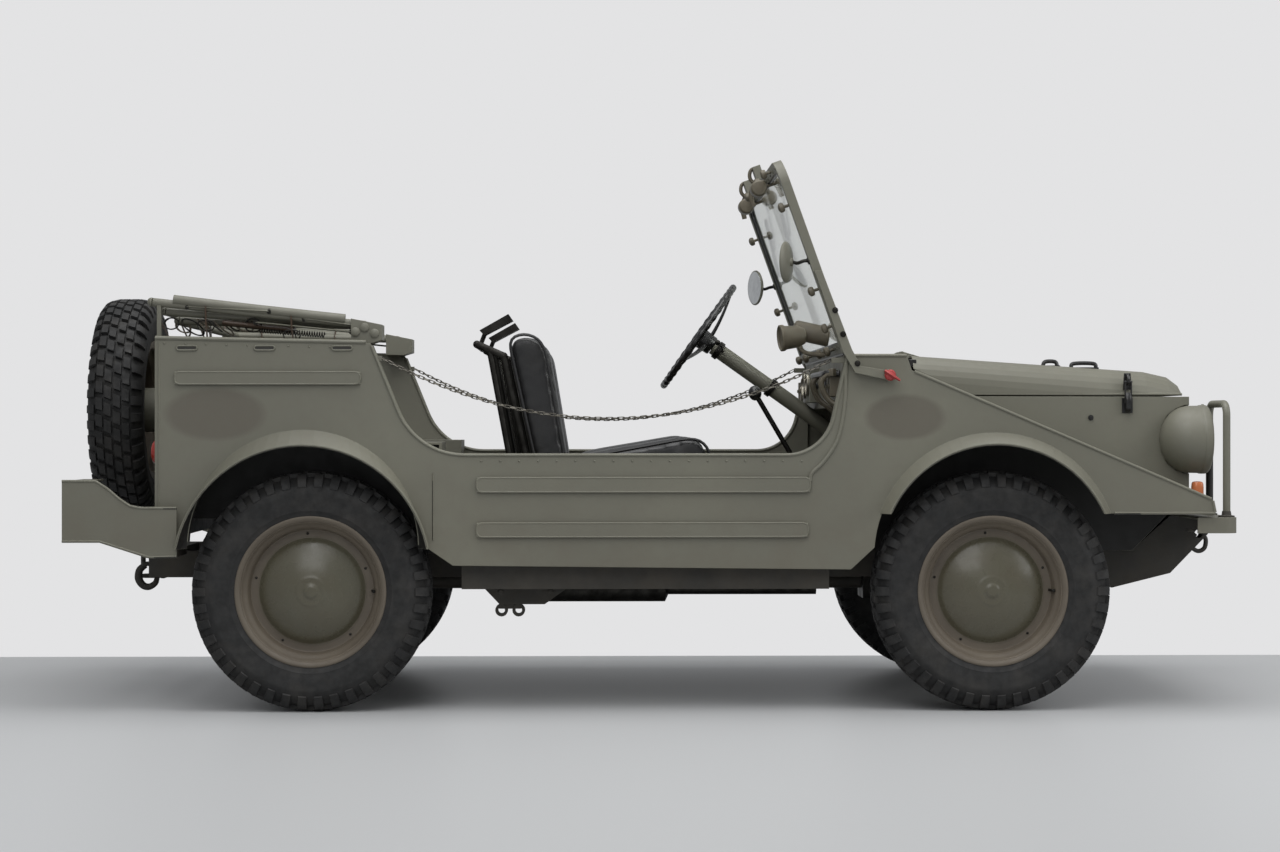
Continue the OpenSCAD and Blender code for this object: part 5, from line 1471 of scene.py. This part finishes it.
class CAR_OT_bonnet_fittings(bpy.types.Operator):
    """Fits the bonnet's side catches, top clips, hinge clips and edge bead"""

    bl_idname = "car.bonnet_fittings"
    bl_label = "Bonnet fittings"

    def side_y(self, x):
        """Half width of the bonnet at a station."""
        return 0.632 + (x - 0.772) * (0.520 - 0.632) / (1.606 - 0.772)

    def catches(self):
        on_bonnet, on_body = [], []
        x, y = 1.422, self.side_y(1.422)
        on_bonnet.append(plate([[-0.013, 0], [0.013, 0], [0.010, 0.050], [-0.010, 0.050]], 0.004,
                               (x, -y, 0.945), [1, 0, 0], [0, 0, 1]))
        on_bonnet.append(tube(smooth_path([(x, -y - 0.004, 0.990), (x, -y - 0.016, 0.985),
                                           (x, -y - 0.018, 0.970), (x, -y - 0.010, 0.962)], 6),
                                           0.0048, 8))
        on_bonnet += bolts([(x - 0.006, -y - 0.004, 0.953), (x + 0.006, -y - 0.004, 0.953)],
                           (0, -1, 0), 0.0035)
        on_body.append(plate([[-0.016, 0], [0.016, 0], [0.016, 0.045], [-0.016, 0.045]], 0.004,
                             (x, -y - 0.001, 0.876), [1, 0, 0], [0, 0, 1]))
        lever = smooth_path([(x, -y - 0.007, 0.880), (x, -y - 0.020, 0.890), (x, -y - 0.024, 0.915),
                             (x, -y - 0.016, 0.936)], 8)
        on_body.append(tube(lever, 0.0085, 10, squash=0.45))
        for dx in (-0.009, 0.009):
            on_body.append(rod((x + dx, -y - 0.018, 0.905), (x + dx, -y - 0.017, 0.970), 0.0025))
        on_body.append(rod((x - 0.012, -y - 0.017, 0.969), (x + 0.012, -y - 0.017, 0.969), 0.003))
        on_body += bolts([(1.31, -self.side_y(1.31) - 0.002, 0.862)], (0, -1, 0), 0.006)
        piece("bonnet_catch_hooks", both(on_bonnet), "bonnet", FINISH["black"])
        piece("bonnet_catch_levers", both(on_body), "chassis", FINISH["black"])

    def top_clips(self):
        parts = []
        for x0, x1, y in ((1.175, 1.232, 0.475), (1.262, 1.350, 0.468)):
            z = 1.044 + 0.001 + (x0 - 0.772) * (-0.045) / 0.713
            base = z - 0.010
            parts.append(slab_box((x0, -y - 0.012, base), (x1, -y + 0.012, base + 0.010)))
            parts.append(tube(smooth_path([(x0 + 0.006, -y, base + 0.008),
                                           (x0 + 0.014, -y, base + 0.021),
                                           (x1 - 0.014, -y, base + 0.021),
                                           (x1 - 0.006, -y, base + 0.007)], 6),
                              0.006, 8))
        parts.append(slab_box((0.762, -0.612, 1.012), (0.782, -0.588, 1.034)))
        piece("bonnet_top_clips", both(parts), "bonnet", FINISH["black"])

    def edge_bead(self):
        """Rolled lower edge along the bonnet's sides, and a bead across its rear edge."""
        xs = np.linspace(0.955, 1.594, 20)
        side = np.array([(x, -self.side_y(x) + 0.004, 0.9325) for x in xs])
        side[-3:, 1] += [0.001, 0.004, 0.012]
        parts = [tube(side, 0.0042, 8)]
        piece("bonnet_edge_beads", both(parts), "bonnet", FINISH["body"])
        rear = []
        for y in np.linspace(-0.56, 0.56, 29):
            rear.append((0.779, y, 1.0455))
        piece("bonnet_rear_bead", [tube(np.array(rear), 0.0045, 8)], "bonnet", FINISH["body"])

    def execute(self, context):
        self.catches()
        self.top_clips()
        self.edge_bead()
        return {"FINISHED"}


class CAR_OT_front(bpy.types.Operator):
    """Fits the grille mesh, lamp guard feet, shackles, bumper bolts and wing bolts"""

    bl_idname = "car.front"
    bl_label = "Front end"

    def grille(self):
        mesh = []
        x = 1.6025
        for z in np.arange(0.66, 0.885, 0.016):
            mesh.append(rod((x, -0.315, z), (x, 0.315, z), 0.0014, 6))
        for y in np.arange(-0.31, 0.312, 0.02):
            mesh.append(rod((x - 0.002, y, 0.655), (x - 0.002, y, 0.885), 0.0014, 6))
        piece("grille_mesh", mesh, "chassis", FINISH["chassis"])
        rims = []
        slot_pitch, slot_half, slot_low, slot_high = 0.050, 0.0125, 0.655, 0.885
        for i in range(-6, 7):
            a = np.linspace(0, TAU, 28, endpoint=False)
            y = i * slot_pitch + slot_half * np.cos(a)
            end = np.where(np.sin(a) > 0, slot_high - 0.012, slot_low + 0.012)
            z = end + slot_half * np.sin(a)
            loop = resample(np.stack([y, z], 1), 0.010, True)
            rims.append(tube(np.stack([np.full(len(loop), 1.6145), loop[:, 0], loop[:, 1]], 1),
                             0.0028, 6, closed=True))
        piece("grille_slot_rims", rims, "chassis", FINISH["body"])

    def bumper(self):
        parts = []
        for s in (-1, 1):
            for dy in (-0.105, 0.105):
                at = np.array([1.698, s * (0.530 + dy), 0.568])
                parts.append(revolve([(0.024, 0), (0.024, 0.004), (0.0145, 0.006), (0.0125, 0.018)],
                                     at,
                                     (0, 0, 1), 24))
                parts += bolts([at + [0.0, 0.018, 0.003], at - [0.0, 0.018, -0.003]], (0, 0, 1),
                               0.0045)
            parts += bolts([(1.722, s * y, 0.545) for y in (0.20, 0.29)], (1, 0, 0), 0.009, 0.3)
            shackle = smooth_path([(1.700, s * 0.32, 0.506), (1.712, s * 0.32, 0.488),
                                   (1.708, s * 0.32, 0.462), (1.690, s * 0.32, 0.452),
                                   (1.672, s * 0.32, 0.462), (1.668, s * 0.32, 0.488),
                                   (1.680, s * 0.32, 0.506)], 6)
            parts.append(tube(shackle, 0.007, 10))
            parts += bolts([(1.60, s * 0.60, 0.530)], (0, 0, -1), 0.010)
        piece("bumper_fittings", parts, "chassis", FINISH["chassis"])

    def execute(self, context):
        self.grille()
        self.bumper()
        return {"FINISHED"}


class CAR_OT_rear(bpy.types.Operator):
    """Fits the folded top's hinges, straps and springs, the tow pintle and the sill box"""

    bl_idname = "car.rear"
    bl_label = "Rear end"

    def top_details(self):
        """Pivot plates, flat links, tension springs and webbing over the folded bows."""
        paint, dark, rust, straps = [], [], [], []
        for s in (-1, 1):
            for x, z in ((-0.841, 1.125), (-0.868, 1.112), (-0.812, 1.108)):
                paint.append(revolve([(0.013, 0), (0.013, 0.006), (0.008, 0.009), (1e-4, 0.0095)],
                                     (x, s * 0.684, z), (0, s, 0), 24))
            sleeve = [(-0.90, 1.150), (-1.16, 1.178), (-1.40, 1.206)]
            run = resample([(x, s * 0.664, z) for x, z in sleeve], 0.05)
            paint.append(tube(run, 0.0145, 12))
            for k in range(9):
                t = np.linspace(0, TAU * 1.4, 40)
                x = -1.17 - 0.030 * k
                r = 0.019 + 0.006 * math.sin(2.3 * k)
                wire = np.stack([x + 1.3 * r * np.cos(t + k),
                                 s * (0.655 - 0.010 * (k % 4)) + 0.003 * t,
                                 1.132 + 0.006 * math.sin(1.7 * k) + r * np.sin(t + 0.6 * k)], 1)
                (rust if k % 2 else dark).append(tube(wire, 0.0021, 6))
            straps.append(tube(resample([(-1.05, s * 0.630, 1.118), (-1.26, s * 0.630, 1.140)],
                                        0.02),
                               0.026, 12, squash=0.35))
            links = [((-0.845, 1.128), (-1.02, 1.150)), ((-0.88, 1.112), (-1.16, 1.140)),
                     ((-1.12, 1.172), (-1.36, 1.185))]
            for (x0, z0), (x1, z1) in links:
                a = np.array([x0, s * 0.672, z0])
                b = np.array([x1, s * 0.664, z1])
                paint.append(tube(np.linspace(a, b, 6), 0.010, 8, squash=0.3))
                dark += bolts([a + [0, s * 0.004, 0], b + [0, s * 0.004, 0]], (0, s, 0), 0.006)
            coil = np.linspace(0, 1, 260)
            a, b = np.array([-0.96, s * 0.646, 1.104]), np.array([-1.15, s * 0.646, 1.118])
            t = coil * TAU * 26
            _, u, v = frame_of(b - a)
            round_it = np.cos(t)[:, None] * u + np.sin(t)[:, None] * v
            path = a + coil[:, None] * (b - a) + 0.0075 * round_it
            dark.append(tube(path, 0.0016, 6))
            for x in (-1.05, -1.30):
                top = 1.105 + (-x - 0.79) * 0.112
                loop = smooth_path([(x, s * 0.676, 1.094), (x - 0.004, s * 0.680, top - 0.01),
                                    (x - 0.006, s * 0.660, top + 0.026),
                                    (x - 0.006, s * 0.610, top + 0.010),
                                    (x - 0.004, s * 0.590, top - 0.02), (x, s * 0.602, 1.098)], 8)
                straps.append(tube(loop, 0.0125, 8, squash=0.16))
                dark.append(tube(smooth_path([(x - 0.022, s * 0.682, top - 0.020),
                                              (x + 0.016, s * 0.682, top - 0.020),
                                              (x + 0.016, s * 0.682, top - 0.044),
                                              (x - 0.022, s * 0.682, top - 0.044)],
                                             6, True), 0.0022, 6, closed=True))
        for y in (-0.40, 0.0, 0.40):
            loop = smooth_path([(-1.455, y, 1.10), (-1.482, y, 1.160), (-1.484, y, 1.214),
                                (-1.452, y, 1.206),
                                (-1.410, y, 1.178), (-1.392, y, 1.120), (-1.412, y, 1.094)], 8)
            straps.append(tube(loop, 0.014, 8, squash=0.14))
        piece("top_links", paint, "chassis", FINISH["body"])
        piece("top_wires", rust, "chassis", FINISH["rim"])
        piece("top_hinges", dark, "chassis", FINISH["steel"])
        piece("top_straps", straps, "chassis", FINISH["brown"])

    def pintle(self):
        """Hinged jaw of the hitch with its lock, safety eyes and bolts."""
        parts = []
        z = 0.40
        jaw = smooth_path([(-1.598, 0, 0.395), (-1.616, 0, 0.378), (-1.618, 0, 0.350),
                           (-1.604, 0, 0.330),
                           (-1.585, 0, 0.326), (-1.566, 0, 0.338), (-1.560, 0, 0.356)], 8)
        parts.append(tube(jaw, np.interp(np.linspace(0, 1, len(jaw)), [0, 0.3, 1],
                                         [0.010, 0.013, 0.008]), 12))
        parts.append(rod((-1.604, 0, 0.395), (-1.604, 0, 0.440), 0.008))
        for s in (-1, 1):
            eye = smooth_path([(-1.541, s * 0.085, 0.420), (-1.556, s * 0.100, 0.412),
                               (-1.562, s * 0.085, 0.390), (-1.556, s * 0.070, 0.412)], 6, True)
            parts.append(tube(eye, 0.0055, 8, closed=True))
        parts += bolts([(-1.540, sy * 0.036, z + dz) for sy in (-1, 1) for dz in (-0.030, 0.035)],
                       (-1, 0, 0), 0.007)
        piece("tow_pintle", parts, "chassis", FINISH["chassis"])

    def spare_nuts(self):
        z = middle("spare_carrier")[2]
        parts = []
        a = np.linspace(0, TAU, 5, endpoint=False) + 0.3
        face = -1.6485
        for t in a:
            at = (face, 0.050 * math.cos(t), z + 0.050 * math.sin(t))
            parts.append(revolve([(0.0105, 0), (0.0105, 0.011), (0.008, 0.014), (1e-4, 0.0145)], at,
                                 (-1, 0, 0), 6))
        parts.append(revolve([(0.020, 0), (0.019, 0.008), (0.010, 0.012), (1e-4, 0.013)],
                             (face, 0, z), (-1, 0, 0), 28))
        piece("spare_nuts", parts, "chassis", FINISH["steel"])

    def sill_box(self):
        """Bracketed step box below the right-hand and left-hand sills."""
        parts = []
        profile = [(-0.120, 0.054), (-0.063, -0.006), (0.072, -0.006), (0.155, 0.054)]
        for y in (0.46, 0.535):
            parts.append(plate(profile, 0.005, (-0.39, -y, 0.312), [1, 0, 0], [0, 0, 1]))
        parts.append(slab_box((-0.450, -0.537, 0.306), (-0.320, -0.458, 0.312)))
        parts += bolts([(-0.45, -0.540, 0.345), (-0.30, -0.540, 0.345)], (0, -1, 0), 0.007)
        for x in (-0.447, -0.396):
            ring = loop_revolve([(0.010, -0.012), (0.019, -0.012), (0.019, 0.012), (0.010, 0.012)],
                                (x, -0.520, 0.288), (0, 1, 0), 20)
            parts.append(ring)
        parts.append(slab_box((-0.455, -0.530, 0.292), (-0.388, -0.510, 0.308)))
        parts.append(slab_box((-1.396, -0.700, 0.455), (-1.388, -0.500, 0.575)))
        piece("sill_brackets", both(parts), "chassis", FINISH["chassis"])

    def bumper_bolts(self):
        parts = bolts([(-1.7115, -y, z) for y in (0.46, 0.70) for z in (0.53, 0.65)],
                      (-1, 0, 0), 0.0075, 0.4)
        edge = resample([(-1.711, 0.677), (-1.614, 0.677), (-1.580, 0.655), (-1.545, 0.625),
                         (-1.515, 0.605), (-1.485, 0.599), (-1.380, 0.599)], 0.012)
        rolled = tube(on_side(edge, -0.7335), 0.0042, 8)
        edge = resample([(-1.711, 0.503), (-1.602, 0.503), (-1.460, 0.457), (-1.380, 0.459)], 0.012)
        lower = tube(on_side(edge, -0.7335), 0.0042, 8)
        piece("rear_bumper_edges", both([rolled, lower]), "chassis", FINISH["body"])
        piece("rear_bumper_bolts", both(parts), "chassis", FINISH["chassis"])

    def execute(self, context):
        self.top_details()
        self.pintle()
        self.spare_nuts()
        self.sill_box()
        self.bumper_bolts()
        return {"FINISHED"}


class CAR_OT_underside(bpy.types.Operator):
    """Adds bolted spring blocks, dampers and brake hoses"""

    bl_idname = "car.underside"
    bl_label = "Underside"

    def execute(self, context):
        parts = []
        for x in AXLES:
            for y in (0.20, 0.30, 0.40):
                parts.append(slab_box((x - 0.040, -y - 0.012, 0.4295),
                                      (x + 0.040, -y + 0.012, 0.485)))
                parts += bolts([(x - 0.028, -y, 0.430), (x + 0.028, -y, 0.430)], (0, 0, -1), 0.007)
            hose = smooth_path([(x - 0.055, -0.300, 0.41), (x - 0.085, -0.36, 0.37),
                                (x - 0.075, -0.42, 0.36), (x - 0.050, -0.46, 0.37)], 8)
            parts.append(tube(hose, 0.0055, 8))
            damper_low = np.array([x + 0.060, -0.400, 0.275])
            damper_high = np.array([x + 0.062, -0.330, 0.40])
            mid = (damper_low + damper_high) / 2
            parts.append(rod(damper_low, mid, 0.019, 20))
            parts.append(rod(mid - (damper_high - damper_low) * 0.1, damper_high, 0.024, 20))
        piece("suspension_fittings", both(parts), "chassis", FINISH["chassis"])
        return {"FINISHED"}


# ---- stage ----------------------------------------------------------------------------------


class CAR_OT_stage(bpy.types.Operator):
    """Sets the camera, the pale floor and background, the lamps and the view"""

    bl_idname = "car.stage"
    bl_label = "Stage"

    def camera(self):
        data = bpy.data.cameras.new("camera")
        data.lens, data.sensor_width = 72.03, 36
        data.clip_start, data.clip_end = 0.5, 60
        camera = bpy.data.objects.new("camera", data)
        camera.location = (-0.1775, -8.173, 0.837)
        camera.rotation_euler = (math.radians(90), 0, math.radians(-1.074))
        bpy.context.scene.collection.objects.link(camera)
        bpy.context.scene.camera = camera

    def floor(self):
        """Grey floor as far as the foot of the background."""
        data = bpy.data.meshes.new("floor")
        points = [(-14, -14, 0), (14, -14, 0), (14, 1.15, 0), (-14, 1.15, 0)]
        data.from_pydata(points, [], [(0, 1, 2, 3)])
        data.materials.append(new_material("studio floor", base_color=linear(paints().floor),
                                           roughness=0.42, specular_ior_level=0.35)[0])
        obj = bpy.data.objects.new("floor", data)
        bpy.context.scene.collection.objects.link(obj)

    def lamps(self):
        for name, at, aim, size, power in (
                ("overhead", (0.2, -1.2, 5.2), (0, 0, 0.3), 5.0, 260),
                ("front", (-1.5, -6.5, 4.8), (0, 0, 0.5), 4.0, 110),
                ("nose", (5.5, -2.5, 3.0), (0.8, 0, 0.6), 3.0, 90)):
            data = bpy.data.lights.new(name, "AREA")
            data.energy, data.size = power, size
            lamp = bpy.data.objects.new(name, data)
            lamp.location = at
            way = np.asarray(aim, float) - np.asarray(at, float)
            lamp.rotation_euler = Vector(way).to_track_quat("-Z", "Y").to_euler()
            bpy.context.scene.collection.objects.link(lamp)

    def world(self):
        """Pale surroundings: even light, and the background's own colour where it is seen."""
        world = bpy.data.worlds.new("studio")
        bpy.context.scene.world = world
        world.use_nodes = True
        tree = world.node_tree
        tree.nodes.clear()
        seen = linear(paints().wall)
        even = add(tree, "ShaderNodeBackground", {"Color": linear("#eef0f2"), "Strength": 0.5})
        shown = add(tree, "ShaderNodeBackground", {"Color": seen, "Strength": 1.0})
        path = add(tree, "ShaderNodeLightPath")
        clear = add(tree, "ShaderNodeMath", {"operation": "MAXIMUM"}, {
            0: path.outputs["Is Camera Ray"], 1: path.outputs["Is Transmission Ray"]}).outputs[0]
        mix = add(tree, "ShaderNodeMixShader", {}, {0: clear,
                                                   1: even.outputs[0], 2: shown.outputs[0]})
        add(tree, "ShaderNodeOutputWorld", {}, {"Surface": mix.outputs[0]})

    def execute(self, context):
        self.camera()
        self.floor()
        self.lamps()
        self.world()
        context.scene.view_settings.view_transform = "Standard"
        return {"FINISHED"}


# ---- add-on ---------------------------------------------------------------------------------

OPERATORS = (CAR_OT_finishes, CAR_OT_stage, CAR_OT_chains, CAR_OT_tyres, CAR_OT_wheels,
             CAR_OT_seats, CAR_OT_controls, CAR_OT_windscreen, CAR_OT_lamps, CAR_OT_body_edges,
             CAR_OT_bonnet_fittings, CAR_OT_front, CAR_OT_rear, CAR_OT_underside)


class CAR_PT_panel(bpy.types.Panel):
    """Settings of the army car and a button for each group of pieces"""

    bl_idname = "CAR_PT_panel"
    bl_label = "Army Car"
    bl_space_type = "VIEW_3D"
    bl_region_type = "UI"
    bl_category = "Army Car"

    def draw(self, context):
        layout = self.layout
        for group in (context.scene.car_paints, context.scene.car_sizes):
            column = layout.column()
            for name in group.__annotations__:
                column.prop(group, name)
        for operator in OPERATORS:
            layout.operator(operator.bl_idname)


def register():
    for cls in (CarPaints, CarSizes, *OPERATORS, CAR_PT_panel):
        bpy.utils.register_class(cls)
    bpy.types.Scene.car_paints = bpy.props.PointerProperty(type=CarPaints)
    bpy.types.Scene.car_sizes = bpy.props.PointerProperty(type=CarSizes)


def unregister():
    del bpy.types.Scene.car_sizes
    del bpy.types.Scene.car_paints
    for cls in reversed((CarPaints, CarSizes, *OPERATORS, CAR_PT_panel)):
        bpy.utils.unregister_class(cls)


def main():
    register()
    bpy.ops.car.finishes()
    bpy.ops.car.stage()
    bpy.ops.car.chains()
    bpy.ops.car.tyres()
    bpy.ops.car.wheels()
    bpy.ops.car.seats()
    bpy.ops.car.controls()
    bpy.ops.car.windscreen()
    bpy.ops.car.lamps()
    bpy.ops.car.body_edges()
    bpy.ops.car.bonnet_fittings()
    bpy.ops.car.front()
    bpy.ops.car.rear()
    bpy.ops.car.underside()


if __name__ == "__main__":
    main()
